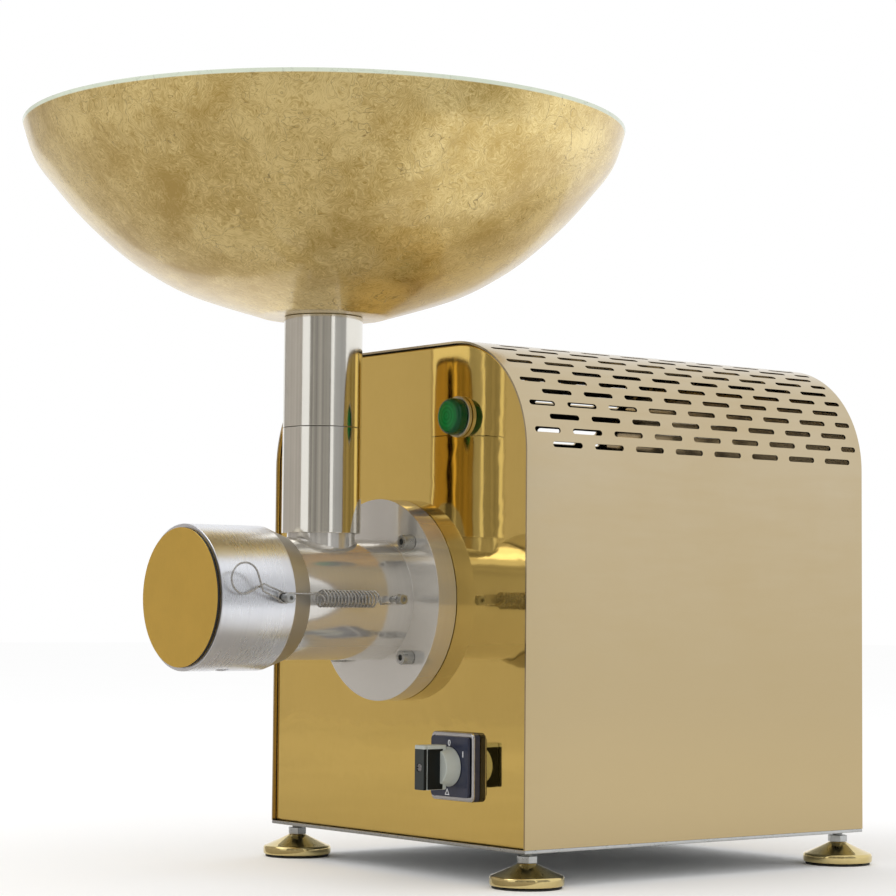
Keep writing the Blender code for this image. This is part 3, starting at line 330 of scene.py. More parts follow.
finish = {
    "mirror": mirrorMaterial(),
    "satin": satinMaterial(),
    "leaf": leafMaterial(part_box("bowl")[1][2]),
    "lens": lensMaterial(),
    "barrel": turnedMaterial("turnedBarrel", (0.66, 0.64, 0.6), (0.76, 0.74, 0.7), (0.07, 0.14),
                             0.72, 700),
    "cap": turnedMaterial("turnedCap", (0.76, 0.78, 0.83), (0.88, 0.9, 0.95), (0.22, 0.32), 1.0, 500,
                          (frontY - 0.1225, frontY - 0.1055, (0.52, 0.5, 0.46))),
}
# per metal: dark and light colour, roughness range, blotch and hair scale, share of the hairlines
metals = {
    "disc": ("satinDisc", (0.78, 0.51, 0.1), (0.92, 0.62, 0.14), (0.3, 0.42), 40, 700, 0.4),
    "tube": ("polishedTube", (0.72, 0.695, 0.63), (0.84, 0.815, 0.75), (0.07, 0.15), 18, 300, 0.15),
    "zinc": ("zincSteel", (0.36, 0.37, 0.37), (0.66, 0.67, 0.66), (0.22, 0.4), 220, 1200, 0.4),
    "wire": ("springWire", (0.33, 0.33, 0.33), (0.6, 0.6, 0.6), (0.2, 0.34), 260, 1400, 0.4),
    "burr": ("machinedSteel", (0.4, 0.4, 0.4), (0.6, 0.6, 0.6), (0.2, 0.36), 60, 900, 0.4),
    "cast": ("paintedCasting", (0.1, 0.11, 0.12), (0.18, 0.19, 0.2), (0.5, 0.7), 120, 600, 0.4),
    "pad": ("polishedPad", (0.56, 0.44, 0.17), (0.8, 0.66, 0.34), (0.05, 0.12), 60, 500, 0.4),
    "frame": ("brightFrame", (0.5, 0.5, 0.52), (0.74, 0.74, 0.76), (0.14, 0.26), 90, 700, 0.4),
    "bezel": ("dullBezel", (0.6, 0.58, 0.53), (0.76, 0.74, 0.68), (0.25, 0.4), 120, 900, 0.4),
    "slotted": ("slottedScrew", (0.22, 0.22, 0.23), (0.4, 0.4, 0.42), (0.2, 0.35), 300, 1500, 0.4),
}
# per plastic: dark and light colour, roughness range, specular level
plastics = {
    "black": ("blackPlastic", (0.005, 0.006, 0.006), (0.01, 0.012, 0.011), (0.3, 0.45), 0.15),
    # a lighter copy of the black plastic, a painted highlight on the grip's front faces
    "charcoal": ("highlightBlackPlastic", (0.03, 0.036, 0.034), (0.045, 0.052, 0.05), (0.3, 0.45), 0.3),
    "grey": ("paleGreyPlastic", (0.4, 0.43, 0.39), (0.48, 0.5, 0.46), (0.3, 0.42), 0.5),
    "label": ("labelFilm", (0.01, 0.017, 0.055), (0.058, 0.058, 0.066), (0.16, 0.26), 0.4),
    "print": ("whitePrint", (0.75, 0.76, 0.78), (0.85, 0.86, 0.88), (0.35, 0.45), 0.5),
    "rubber": ("footRubber", (0.012, 0.012, 0.012), (0.025, 0.025, 0.025), (0.6, 0.8), 0.5),
    # near black: painted shade on the cover's inside, and the dark rim of the cap's disc
    "dark": ("darkSeamAndShade", (0.01, 0.009, 0.008), (0.02, 0.018, 0.016), (0.5, 0.7), 0.5),
}
for look, values in metals.items():
    finish[look] = metalMaterial(*values)
for look, values in plastics.items():
    finish[look] = plasticMaterial(*values)
print("materials made")


# Shared form tools
turnFor = {"up": Matrix.Identity(4), "front": Matrix.Rotation(pi / 2, 4, "X"),
           "right": Matrix.Rotation(pi / 2, 4, "Y"),
           "back": Matrix.Rotation(-pi / 2, 4, "X")}
bodyOf = {node: body for body, members in frame["record"]["behaviour"]["bodies"].items()
          for node in members}


def softCorners(points, size, closed=False, count=3):
    # rounds the corners of a flat outline by a little curve at each
    made = []
    total = len(points)
    for n, point in enumerate(points):
        if not closed and n in (0, total - 1):
            made.append(point)
            continue
        here = Vector(point)
        before = Vector(points[n - 1]) - here
        after = Vector(points[(n + 1) % total]) - here
        reach = min(size, before.length * 0.45, after.length * 0.45)
        first = here + before.normalized() * reach
        last = here + after.normalized() * reach
        for step in range(count + 1):
            t = step / count
            made.append(tuple(first * (1 - t) ** 2 + here * 2 * t * (1 - t) + last * t * t))
    return made


def smoothCurve(points, steps=6):
    # a flowing line through every point
    made = []
    ends = [points[0]] + list(points) + [points[-1]]
    for n in range(len(points) - 1):
        a, b, c, d = (Vector(p) for p in ends[n:n + 4])
        for step in range(steps):
            t = step / steps
            made.append(0.5 * (2 * b + (c - a) * t + (2 * a - 5 * b + 4 * c - d) * t * t
                               + (3 * b - a - 3 * c + d) * t ** 3))
    made.append(Vector(points[-1]))
    return made


def spunForm(profile, steps=96, closed=False):
    work = bmesh.new()
    row = [work.verts.new((radius, 0, along)) for radius, along in profile]
    after = row[1:] + row[:1] if closed else row[1:]
    edges = [work.edges.new(pair) for pair in zip(row, after)]
    bmesh.ops.spin(work, geom=row + edges, cent=(0, 0, 0), axis=(0, 0, 1), dvec=(0, 0, 0),
                   angle=tau, steps=steps, use_merge=True)
    bmesh.ops.remove_doubles(work, verts=work.verts, dist=0.000001)
    bmesh.ops.recalc_face_normals(work, faces=work.faces)
    return work


def softEdges(work, edges, size, segments):
    bmesh.ops.bevel(work, geom=edges, offset=size, segments=segments, profile=0.5, affect="EDGES",
                    material=-1)


def boxForm(size, edge=0.0, segments=3):
    work = bmesh.new()
    bmesh.ops.create_cube(work, size=1, matrix=Matrix.Diagonal((*size, 1)))
    if edge:
        softEdges(work, work.edges[:], edge, segments)
    return work


def prismForm(sides, radius, length, edge=0.0):
    work = bmesh.new()
    bmesh.ops.create_cone(work, cap_ends=True, segments=sides, radius1=radius, radius2=radius,
                          depth=length, matrix=Matrix.Translation((0, 0, length / 2)))
    if edge:
        softEdges(work, work.edges[:], edge, 2)
    return work


def addObject(name, data):
    made = bpy.data.objects.new(name, data)
    bpy.context.scene.collection.objects.link(made)
    return made


def meshOf(name, work):
    mesh = bpy.data.meshes.new(name)
    work.to_mesh(mesh)
    work.free()
    return mesh


def finalForm(item):
    # the form that a curve or a modifier gives; the item itself goes
    bpy.context.view_layer.update()
    result = item.evaluated_get(bpy.context.evaluated_depsgraph_get())
    mesh = bpy.data.meshes.new_from_object(result)
    work = bmesh.new()
    work.from_mesh(mesh)
    bpy.data.objects.remove(item)
    bpy.data.meshes.remove(mesh)
    return work


def curveForm(shape):
    work = finalForm(addObject("curveGuide", shape))
    bpy.data.curves.remove(shape)
    bmesh.ops.remove_doubles(work, verts=work.verts, dist=0.000001)
    return work


def tubeForm(points, thickness, sides=10):
    # a round wire along a line, closed at both ends
    shape = bpy.data.curves.new("wireShape", "CURVE")
    shape.dimensions = "3D"
    shape.bevel_depth = thickness / 2
    shape.bevel_resolution = sides // 2 - 2
    shape.use_fill_caps = True
    path = shape.splines.new("POLY")
    path.points.add(len(points) - 1)
    for spot, point in zip(path.points, points):
        spot.co = (*point, 1)
    return curveForm(shape)


def flatForm(loops):
    # a flat sheet with holes, from its outline and the outlines of the holes
    shape = bpy.data.curves.new("flatShape", "CURVE")
    shape.dimensions = "2D"
    shape.fill_mode = "FRONT"
    for loop in loops:
        path = shape.splines.new("POLY")
        path.points.add(len(loop) - 1)
        for spot, (x, y) in zip(path.points, loop):
            spot.co = (x, y, 0, 1)
        path.use_cyclic_u = True
    return curveForm(shape)


def onCircle(x, y, radius, turn):
    return x + radius * cos(turn), y + radius * sin(turn)


def circle(x, y, radius, count=40):
    return [onCircle(x, y, radius, n * tau / count) for n in range(count)]


def longHole(x, y, width, height, count=7):
    # a slot with round ends, longer in x than in y
    radius = height / 2
    reach = max(width / 2 - radius, 0)
    made = []
    for hand, start in ((1, -90), (-1, 90)):
        for n in range(count):
            turn = radians(start + 180 * n / (count - 1))
            made.append(onCircle(x + hand * reach, y, radius, turn))
    return made


def move(work, place, axis="up"):
    bmesh.ops.transform(work, matrix=Matrix.Translation(place) @ turnFor[axis], verts=work.verts)
    return work


def cutAcross(work, place, direction):
    # new edges where a plane meets the form
    bmesh.ops.bisect_plane(work, geom=work.verts[:] + work.edges[:] + work.faces[:],
                           plane_co=place, plane_no=direction, dist=0.0000001)


def makePiece(name, work, looks, sharp=38):
    for face in work.faces:
        face.smooth = True
    for edge in work.edges:
        if len(edge.link_faces) == 2 and edge.calc_face_angle(0) > radians(sharp):
            edge.smooth = False
    made = addObject(name, meshOf(name, work))
    for look in looks.split():
        made.data.materials.append(finish[look])
    shading = made.modifiers.new("Shading", "WEIGHTED_NORMAL")
    shading.weight = 100
    shading.keep_sharp = True
    return made


def standIn(node, work, look, sharp=38):
    # a finer piece in the place of one CAD node, on the same body
    name = "fine" + "".join(part.capitalize() for part in node.split("_"))
    made = makePiece(name, work, look, sharp)
    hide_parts(node)
    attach(made, bodyOf[node])
    return made


def carve(work, cutter, operation="DIFFERENCE"):
    # one exact cut or join between two closed forms
    main, other = [addObject("carving", meshOf("carving", form)) for form in (work, cutter)]
    change = main.modifiers.new("Cut", "BOOLEAN")
    change.operation = operation
    change.object = other
    change.solver = "EXACT"
    fresh = finalForm(main)
    bpy.data.objects.remove(other)
    return fresh


housing = dict(half=0.1525, height=0.353, corner=0.082, sheet=0.0015, ahead=0.0025, depth=0.33,
               slotLong=0.027, slotHigh=0.004, pitch=0.0384, margin=0.0056, start=-0.004, rows=12,
               firstTurn=radians(4.2), rowTurn=radians(6.98), bends=44)
arcX = housing["half"] - housing["corner"]
arcZ = coverZ + housing["height"] - housing["corner"]
backY = frontY + housing["depth"]
sideRise = housing["height"] - housing["corner"]
cornerArc = housing["corner"] * pi / 2
foldedLength = 2 * (sideRise + cornerArc) + 2 * arcX


def outlinePoints(inset, bottom, count=40):
    radius = housing["corner"] - inset
    side = [(housing["half"] - inset, bottom)]
    for n in range(count + 1):
        turn = pi / 2 * n / count
        side.append(onCircle(arcX, arcZ, radius, turn))
    return side + [(-x, z) for x, z in reversed(side)]


def coverPoint(along):
    # the place at a distance along the cover's folded length
    hand, run = (1, along) if along <= foldedLength / 2 else (-1, foldedLength - along)
    if run <= sideRise:
        return hand * housing["half"], coverZ + run
    if run <= sideRise + cornerArc:
        x, z = onCircle(arcX, arcZ, housing["corner"], (run - sideRise) / housing["corner"])
        return hand * x, z
    return hand * (arcX - (run - sideRise - cornerArc)), arcZ + housing["corner"]


def outward(x, z):
    if z <= arcZ:
        return Vector((copysign(1, x), 0, 0))
    if abs(x) <= arcX:
        return Vector((0, 0, 1))
    return Vector((x - copysign(arcX, x), 0, z - arcZ)).normalized()


def coverForm():
    h = housing
    front = frontY - h["ahead"]
    loops = [[(0, front), (foldedLength, front), (foldedLength, backY), (0, backY)]]
    for row in range(h["rows"]):
        along = sideRise + h["corner"] * (h["firstTurn"] + row * h["rowTurn"])
        centre = h["start"] + (row % 2) * h["pitch"] / 2
        while centre - h["slotLong"] / 2 < h["depth"] - h["margin"]:
            low = max(centre - h["slotLong"] / 2, h["margin"])
            high = min(centre + h["slotLong"] / 2, h["depth"] - h["margin"])
            centre += h["pitch"]
            if high - low < h["slotHigh"]:
                continue
            hole = longHole(frontY + (low + high) / 2, 0, high - low, h["slotHigh"])
            loops.append([(along + y, x) for x, y in hole])
            loops.append([(foldedLength - along - y, x) for x, y in hole])
    work = flatForm(loops)
    cutAcross(work, (0, frontY, 0), (0, 1, 0))
    for n in range(h["bends"] + 1):
        bend = cornerArc * n / h["bends"]
        for along in (sideRise + bend, foldedLength - sideRise - bend):
            cutAcross(work, (along, 0, 0), (1, 0, 0))
    for vert in work.verts:
        x, z = coverPoint(vert.co.x)
        vert.co = (x, vert.co.y, z)
    for face in work.faces:
        middle = face.calc_center_median()
        face.normal_update()
        if face.normal.dot(outward(middle.x, middle.z)) < 0:
            face.normal_flip()
    return work


def thicken(work, thickness, inside=0):
    # gives an open sheet its thickness, away from its outer face; inside is 1 when its inner face takes
    # its second look, a near black that is painted shade
    item = addObject("sheet", meshOf("sheet", work))
    for look in ("satin", "dark"):
        item.data.materials.append(finish[look])
    shell = item.modifiers.new("Sheet", "SOLIDIFY")
    shell.thickness = thickness
    shell.offset = -1
    shell.use_even_offset = True
    shell.material_offset = inside
    return finalForm(item)


def exactNormals(made):
    # shading follows the true curve of the sheet instead of its many small faces
    made.modifiers.clear()
    mesh = made.data
    normals = []
    for face in mesh.polygons:
        flat = face.normal.copy()
        for corner in face.loop_indices:
            spot = mesh.vertices[mesh.loops[corner].vertex_index].co
            true = outward(spot.x, spot.z)
            if abs(flat.dot(true)) > 0.9:
                normals.append(true if flat.dot(true) > 0 else -true)
            else:
                normals.append(flat)
    mesh.normals_split_custom_set(normals)


# the cover's inner face is painted near black, painted shade seen through its slots; its strip ahead of
# the panel stays satin
coverShell = thicken(coverForm(), housing["sheet"], 1)
for face in coverShell.faces:
    if face.calc_center_median().y < frontY:
        face.material_index = 0
fineCover = standIn("cover", coverShell, "satin dark")
exactNormals(fineCover)
print("cover made")


def sheetPanel(facing, plane, holes):
    # a sheet panel with a rolled edge; facing is the y direction of its outer face
    fit, roll, back = 0.0018, 0.0016, 0.0036
    ground = coverZ + 0.0003 - fit
    first = fit + roll + 0.0003

    def ringAt(inset):
        return outlinePoints(inset, ground + inset)

    loops = [ringAt(first)] + holes
    work = flatForm([[(x, z - coverZ) for x, z in loop] for loop in loops])
    for vert in work.verts:
        vert.co = (vert.co.x, plane, vert.co.y + coverZ)
    stops = [(first, 0), (fit + roll, 0)]
    for n in range(1, 7):
        turn = pi / 2 * n / 6
        stops.append((fit + roll * (1 - sin(turn)), roll * (1 - cos(turn))))
    stops.append((fit, back))
    rings = []
    for inset, depth in stops:
        row = [work.verts.new((x, plane - facing * depth, z)) for x, z in ringAt(inset)]
        rings.append([work.edges.new(pair) for pair in zip(row, row[1:] + row[:1])])
    for near, far in zip(rings, rings[1:]):
        bmesh.ops.bridge_loops(work, edges=near + far)
    bmesh.ops.remove_doubles(work, verts=work.verts, dist=0.000001)
    bmesh.ops.recalc_face_normals(work, faces=work.faces)
    widest = max(work.faces, key=lambda face: face.calc_area())
    if widest.normal.y * facing < 0:
        bmesh.ops.reverse_faces(work, faces=work.faces)
    return thicken(work, 0.0014)


numbers = (1, 2, 3, 4)  # of the bolts, the rear screws and the feet
head = dict(panelHole=0.0266, boltRing=0.058, boltHole=0.0033, studHole=0.0023, barrel=0.15,
            neckFrom=0.0345, neckTop=0.236, neckOuter=0.0243, neckInner=0.0213, lugDeep=0.0083)
studs = {"cap_stud": 0.1344, "barrel_stud": 0.0351}  # distance ahead of the panel
boltSpots = [onCircle(0, axisZ, head["boltRing"], radians(a)) for a in (45, 135, 225, 315)]
switchX, switchZ = 0.0765, coverZ + 0.053
frontHoles = [circle(0, axisZ, head["panelHole"]), circle(switchX, switchZ, 0.005, 24),
              circle(lampX, lampZ, 0.0111)]
frontHoles += [circle(x, z, head["boltHole"], 16) for x, z in boltSpots]
standIn("front_panel", sheetPanel(-1, frontY, frontHoles), "mirror", 50)

rear = dict(vents=6, ventStep=0.012, ventSize=(0.084, 0.004), inlet=(0.0138, 0.0103),
            screwHole=0.0021)
firstVent = axisZ - rear["ventStep"] * (rear["vents"] - 1) / 2
rearHoles = [longHole(0, firstVent + n * rear["ventStep"], *rear["ventSize"])
             for n in range(rear["vents"])]
inletX, inletZ = middleOf("power_inlet")[::2]
wide, tall = rear["inlet"]
opening = softCorners([(-wide, -tall), (wide, -tall), (wide, tall), (-wide, tall)], 0.002, True)
rearHoles.append([(inletX + x, inletZ + z) for x, z in opening])
screwSpots = [middleOf("rear_screw_%d" % n)[::2] for n in numbers]
rearHoles += [circle(x, z, rear["screwHole"], 16) for x, z in screwSpots]
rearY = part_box("rear_panel")[1].y
standIn("rear_panel", sheetPanel(1, rearY, rearHoles), "satin", 50)
print("panels made")


foot = dict(plate=0.0025, nut=0.0075, hole=0.0043, padShare=0.973, pitch=0.00125, root=0.0035,
            crest=0.0039, hexRadius=0.00745, hexHigh=0.005, hexFrom=0.0169)
footSpots = [middleOf("foot_rubber_%d" % n)[:2] for n in numbers]


def baseForm():
    # the base plate, its welded nuts and the holes of the feet
    low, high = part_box("base_plate")
    x, y = middleOf("base_plate")[:2]
    sheet = boxForm((high.x - low.x, high.y - low.y, foot["plate"]), 0.0006, 2)
    work = move(sheet, (x, y, low.z + foot["plate"] / 2))
    for x, y in footSpots:
        nut = move(prismForm(6, foot["nut"], foot["nut"], 0.0005), (x, y, coverZ - 0.001))
        work = carve(work, nut, "UNION")
        work = carve(work, move(prismForm(24, foot["hole"], 0.02), (x, y, low.z - 0.005)))
    return work


def studForm(low, high):
    # a threaded rod from low to high with a hexagon near its foot
    thread = [(0, low)]
    for turn in range(int((high - low - 0.002) / foot["pitch"])):
        rise = low + 0.001 + turn * foot["pitch"]
        thread += [(foot["root"], rise), (foot["crest"], rise + 0.0005),
                   (foot["crest"], rise + 0.00075)]
    thread += [(foot["root"], high - 0.001), (0.003, high), (0, high)]
    hexagon = prismForm(6, foot["hexRadius"], foot["hexHigh"], 0.0005)
    return carve(spunForm(thread, 32), move(hexagon, (0, 0, foot["hexFrom"])), "UNION")


standIn("base_plate", baseForm(), "zinc", 30)

padSide = [(0.007, 0.0166), (0.0078, 0.016), (0.0158, 0.0124), (0.0235, 0.0092), (0.0256, 0.0084),
           (0.0264, 0.0074), (0.0266, 0.0062), (0.0266, 0.0034), (0.0262, 0.0022), (0.025, 0.0016)]
padProfile = [(0, 0.0066), (0.0043, 0.0066), (0.0043, 0.0166)] + smoothCurve(padSide, 4)
padProfile = [(radius * foot["padShare"], rise) for radius, rise in padProfile + [(0, 0.0016)]]
rubberSide = softCorners([(0, 0.0012), (0.0242, 0.0012), (0.0242, 0), (0, 0)], 0.0004)
for n, (x, y) in zip(numbers, footSpots):
    standIn("foot_pad_%d" % n, move(spunForm(padProfile, 72), (x, y, 0)), "pad", 45)
    standIn("foot_rubber_%d" % n, move(spunForm(rubberSide, 64), (x, y, 0)), "rubber")
    low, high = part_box("foot_stud_%d" % n)
    stud = studForm(low.z, high.z)
    standIn("foot_stud_%d" % n, move(stud, (x, y, 0)), "zinc", 30)
print("feet made")


def frontSpun(profile, steps, closed=False):
    return move(spunForm(profile, steps, closed), (0, frontY, axisZ), "front")


def frontPoint(x, forward, rise=0.0):
    # a place ahead of the panel, rise above the head's axis
    return Vector((x, frontY - forward, axisZ + rise))


def studHole(side, node):
    return move(prismForm(24, head["studHole"], 0.03), frontPoint(side, studs[node]), "right")


barrelSide = softCorners([(0.0434, 0.15), (0.0434, 0.0163), (0.073, 0.0163), (0.073, 0.0003),
                          (0.0263, 0.0003), (0.0263, 0.006), (0.0126, 0.006), (0.0126, 0.011),
                          (0.034, 0.011), (0.034, 0.15)], 0.0005, True, 2)
barrelForm = frontSpun(barrelSide, 144, True)
neckLow, neckHigh = axisZ + head["neckFrom"], coverZ + head["neckTop"]
neckSide = [(0, neckLow), (head["neckOuter"], neckLow), (head["neckOuter"], neckHigh), (0, neckHigh)]
barrelForm = carve(barrelForm, move(spunForm(neckSide, 96), (0, tubeY, 0)), "UNION")
barrelForm = carve(barrelForm, move(prismForm(72, head["neckInner"], 0.09), (0, tubeY, axisZ)))
for x, z in boltSpots:
    boltHole = move(prismForm(24, head["boltHole"], 0.024), (x, frontY + 0.004, z), "front")
    barrelForm = carve(barrelForm, boltHole)
barrelForm = carve(barrelForm, studHole(0.0391, "barrel_stud"))
lugCut = boxForm((0.0796, 2 * head["lugDeep"], 0.0086))
lugPlace = frontPoint(0, head["barrel"] + 0.004 - head["lugDeep"])
barrelForm = carve(barrelForm, move(lugCut, lugPlace))
standIn("barrel", barrelForm, "barrel", 30)

capSide = softCorners([(0, 0.182), (0.0506, 0.182), (0.0506, 0.1225), (0.0448, 0.106),
                       (0.0437, 0.106), (0.0437, 0.1503), (0.04, 0.1503), (0.04, 0.176),
                       (0, 0.176)], 0.0007)
capForm = frontSpun(capSide, 160)
outlet = boxForm((0.026, 0.01, 0.0506))
capForm = carve(capForm, move(outlet, frontPoint(0, 0.1559, -0.0506)))
capForm = carve(capForm, studHole(0.0463, "cap_stud"))
standIn("head_cap", capForm, "cap", 30)
discSide = softCorners([(0, 0.1843), (0.048, 0.1843), (0.048, 0.1823), (0, 0.1823)], 0.0003)
discForm = frontSpun(discSide, 144)
for face in discForm.faces:
    face.material_index = int(abs(face.normal.y) < 0.5)
standIn("cap_disc", discForm, "disc dark", 30)
print("barrel and cap made")


flangeBolt = dict(headRadius=0.005, headLength=0.009, shankRadius=0.003, socketRadius=0.0024,
                  socketDepth=0.004)
hookStud = dict(headRadius=0.0035, headLength=0.0045, shankRadius=0.002, socketRadius=0.0017,
                socketDepth=0.0022)


def socketScrew(whole, headRadius, headLength, shankRadius, socketRadius, socketDepth):
    # stands on its shank's end; the head and its hex socket are on top
    length = whole - headLength
    profile = [(0, 0), (shankRadius, 0), (shankRadius, length), (headRadius, length),
               (headRadius, length + headLength), (0, length + headLength)]
    work = spunForm(softCorners(profile, headRadius * 0.12), 48)
    socket = prismForm(6, socketRadius, socketDepth + 0.002)
    return carve(work, move(socket, (0, 0, length + headLength - socketDepth)))


def crossScrew(length):
    profile = [(0, 0), (0.0018, 0), (0.0018, length - 0.0024), (0.0042, length - 0.0024),
               (0.0042, length - 0.0012), (0.003, length - 0.0002), (0, length)]
    work = spunForm(softCorners(profile, 0.0004), 40)
    for size in ((0.0044, 0.0009, 0.002), (0.0009, 0.0044, 0.002)):
        work = carve(work, move(boxForm(size), (0, 0, length)))
    return work


for n in numbers:
    low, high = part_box("flange_bolt_%d" % n)
    x, z = middleOf("flange_bolt_%d" % n)[::2]
    bolt = socketScrew(high.y - low.y, **flangeBolt)
    standIn("flange_bolt_%d" % n, move(bolt, (x, high.y, z), "front"), "zinc", 30)
for node, forward in studs.items():
    low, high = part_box(node)
    stud = socketScrew(high.x - low.x, **hookStud)
    standIn(node, move(stud, frontPoint(low.x, forward), "right"), "zinc", 30)
for n, (x, z) in zip(numbers, screwSpots):
    low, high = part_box("rear_screw_%d" % n)
    screw = crossScrew(high.y - low.y)
    standIn("rear_screw_%d" % n, move(screw, (x, low.y, z), "back"), "zinc", 30)
print("screws made")

spring = dict(x=0.0516, wire=0.0013, radius=0.0056, curls=16, pitch=0.00292, first=0.0565,
              runIn=0.006, points=20, hook=0.0032)


def hookLine(forward, hand):
    line = []
    for n in range(25):
        turn = hand * pi / 2 - radians(270) * (1 - n / 24)
        line.append(frontPoint(spring["x"], forward + hand * spring["hook"] * cos(turn),
                               spring["hook"] * sin(turn)))
    return line


def runInSpot(share, start, hand):
    turn = hand * share * pi / 2
    radius = spring["radius"] + (spring["hook"] - spring["radius"]) * share
    return frontPoint(spring["x"] + radius * cos(turn), start + hand * spring["runIn"] * share,
                      radius * sin(turn))


def springLine():
    last = spring["first"] + spring["curls"] * spring["pitch"]
    line = hookLine(studs["barrel_stud"], -1)
    line += [runInSpot(n / 6, spring["first"], -1) for n in range(6, 0, -1)]
    for n in range(spring["points"] * spring["curls"] + 1):
        turn = n * tau / spring["points"]
        line.append(frontPoint(spring["x"] + spring["radius"] * cos(turn),
                               spring["first"] + n * spring["pitch"] / spring["points"],
                               spring["radius"] * sin(turn)))
    line += [runInSpot((n + 1) / 6, last, 1) for n in range(6)]
    return line + hookLine(studs["cap_stud"], 1)[::-1]


standIn("cap_spring", tubeForm(springLine(), spring["wire"], 10), "wire", 60)

clip = dict(x=0.0536, wire=0.0013, eye=0.00325, ring=0.0105, forward=0.167, rise=0.013,
            layer=0.0019, legShare=0.8, open=radians(38))


def clipLine():
    c = clip
    reach = c["forward"] - studs["cap_stud"]
    tilt = atan2(c["rise"], reach)
    far = hypot(reach, c["rise"])
    near = far - c["ring"] - c["wire"]
    flat = []
    for n in range(21):
        turn = pi / 2 + radians(200) * (1 - n / 20)
        flat.append((*onCircle(0, 0, c["eye"], turn), 0))
    flat.append((near * c["legShare"], c["eye"] * c["legShare"], 0))
    for n in range(49):
        turn = pi + c["open"] + (tau - 2 * c["open"]) * n / 48
        flat.append((*onCircle(far, 0, c["ring"], turn), c["layer"] * n / 48))
    flat.append((near * c["legShare"], -c["eye"] * c["legShare"], c["layer"]))
    for n in range(21):
        turn = -pi / 2 - radians(200) * n / 20
        flat.append((*onCircle(0, 0, c["eye"], turn), c["layer"]))
    return [frontPoint(c["x"] + side, studs["cap_stud"] + along * cos(tilt) - up * sin(tilt),
                       along * sin(tilt) + up * cos(tilt)) for along, up, side in flat]


standIn("hitch_clip", tubeForm(clipLine(), clip["wire"], 12), "wire", 60)
print("spring and clip made")


def upSpun(profile, steps=128):
    return move(spunForm(profile, steps, True), (0, tubeY, coverZ))


lowerSide = softCorners([(0.0282, 0.291), (0.0282, 0.216), (0.0246, 0.216), (0.0246, 0.291)],
                        0.0004, True, 2)
standIn("lower_feed_tube", upSpun(lowerSide), "tube", 30)
upperSide = softCorners([(0.0246, 0.38), (0.0246, 0.3707), (0.0282, 0.3707), (0.0282, 0.2914),
                         (0.0243, 0.2914), (0.0243, 0.265), (0.0217, 0.265), (0.0217, 0.38)],
                        0.0004, True, 2)
standIn("upper_feed_tube", upSpun(upperSide), "tube", 30)

bowl = dict(bottom=0.371, rise=0.135, radius=0.216, wall=0.0045, floor=0.045, hole=0.0249,
            outShares=(0.449, 0.593, 0.699, 0.808, 0.895, 0.9615, 1.0),
            upShares=(0.122, 0.241, 0.363, 0.523, 0.681, 0.822, 1.0))


def bowlProfile():
    b = bowl
    wall = [(b["floor"], 0)] + [(b["radius"] * out, b["rise"] * up)
                                for out, up in zip(b["outShares"], b["upShares"])]
    outer = smoothCurve(wall, 10)
    inner = []
    for n, spot in enumerate(outer):
        along = (outer[min(n + 1, len(outer) - 1)] - outer[max(n - 1, 0)]).normalized()
        inner.append(spot + Vector((-along.y, along.x)) * b["wall"])
    inner[-1] = Vector((outer[-1].x - b["wall"], outer[-1].y))
    inner = [spot for spot in inner if spot.y >= b["wall"] and spot.x > b["floor"]]
    rim = softCorners([tuple(outer[-2]), tuple(outer[-1]), tuple(inner[-1]), tuple(inner[-2])], 0.0012)
    loop = [(b["hole"], b["wall"])] + [tuple(p) for p in inner[:-2]] + rim[::-1]
    loop += [tuple(p) for p in outer[:-2][::-1]] + [(b["hole"], 0)]
    return [(radius, b["bottom"] + height) for radius, height in loop]


standIn("bowl", upSpun(bowlProfile(), 192), "leaf", 50)
low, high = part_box("bowl_clamp_ring")
clampSide = softCorners([(0.038, high.z - coverZ), (0.038, low.z - coverZ), (0.0249, low.z - coverZ),
                         (0.0249, high.z - coverZ)], 0.0006, True, 2)
standIn("bowl_clamp_ring", upSpun(clampSide), "zinc", 30)
print("tubes and bowl made")


def raiseSheet(work, depth):
    raised = bmesh.ops.extrude_face_region(work, geom=work.faces[:])["geom"]
    bmesh.ops.translate(work, verts=[v for v in raised if isinstance(v, bmesh.types.BMVert)],
                        vec=(0, 0, depth))
    bmesh.ops.recalc_face_normals(work, faces=work.faces)


def roundedPlate(size, depth, corner, edge, steps=8):
    # a square plate with rounded corners and a soft front edge, its face towards the front
    half = size / 2
    outline = []
    for n in range(4):
        middle = Vector(((half - corner) * (1 if n in (0, 3) else -1),
                         (half - corner) * (1 if n in (0, 1) else -1)))
        for step in range(steps + 1):
            turn = pi / 2 * (n + step / steps)
            outline.append(onCircle(*middle, corner, turn))
    work = flatForm([outline])
    bmesh.ops.dissolve_faces(work, faces=work.faces[:])
    raiseSheet(work, depth)
    if edge:
        rim = [e for e in work.edges if all(abs(v.co.z - depth) < 1e-7 for v in e.verts)]
        softEdges(work, rim, edge, 4)
    return work


def atSwitch(work, forward):
    return move(work, (switchX, frontY - forward, switchZ), "front")


plate = roundedPlate(0.048, 0.006, 0.004, 0.0016)
plate = carve(plate, move(roundedPlate(0.0436, 0.004, 0.003, 0), (0, 0, 0.0053)))
plate = carve(plate, move(prismForm(32, 0.005, 0.02), (0, 0, -0.005)))
for face in plate.faces:
    if abs(face.normal.z) < 0.3 and face.calc_center_median().z < 0.0045:
        face.material_index = 1
standIn("switch_plate", atSwitch(plate, 0.0003), "frame label", 25)
label = roundedPlate(0.042, 0.002, 0.0026, 0.0004)
label = carve(label, move(prismForm(32, 0.005, 0.02), (0, 0, -0.005)))
standIn("switch_label", atSwitch(label, 0.0066), "label", 25)

marks = {"switchZero": ("0", 0.0, 0.0163), "switchOne": ("1", 60.0, 0.0178)}
markSize, markDepth = 0.0058, 0.0001


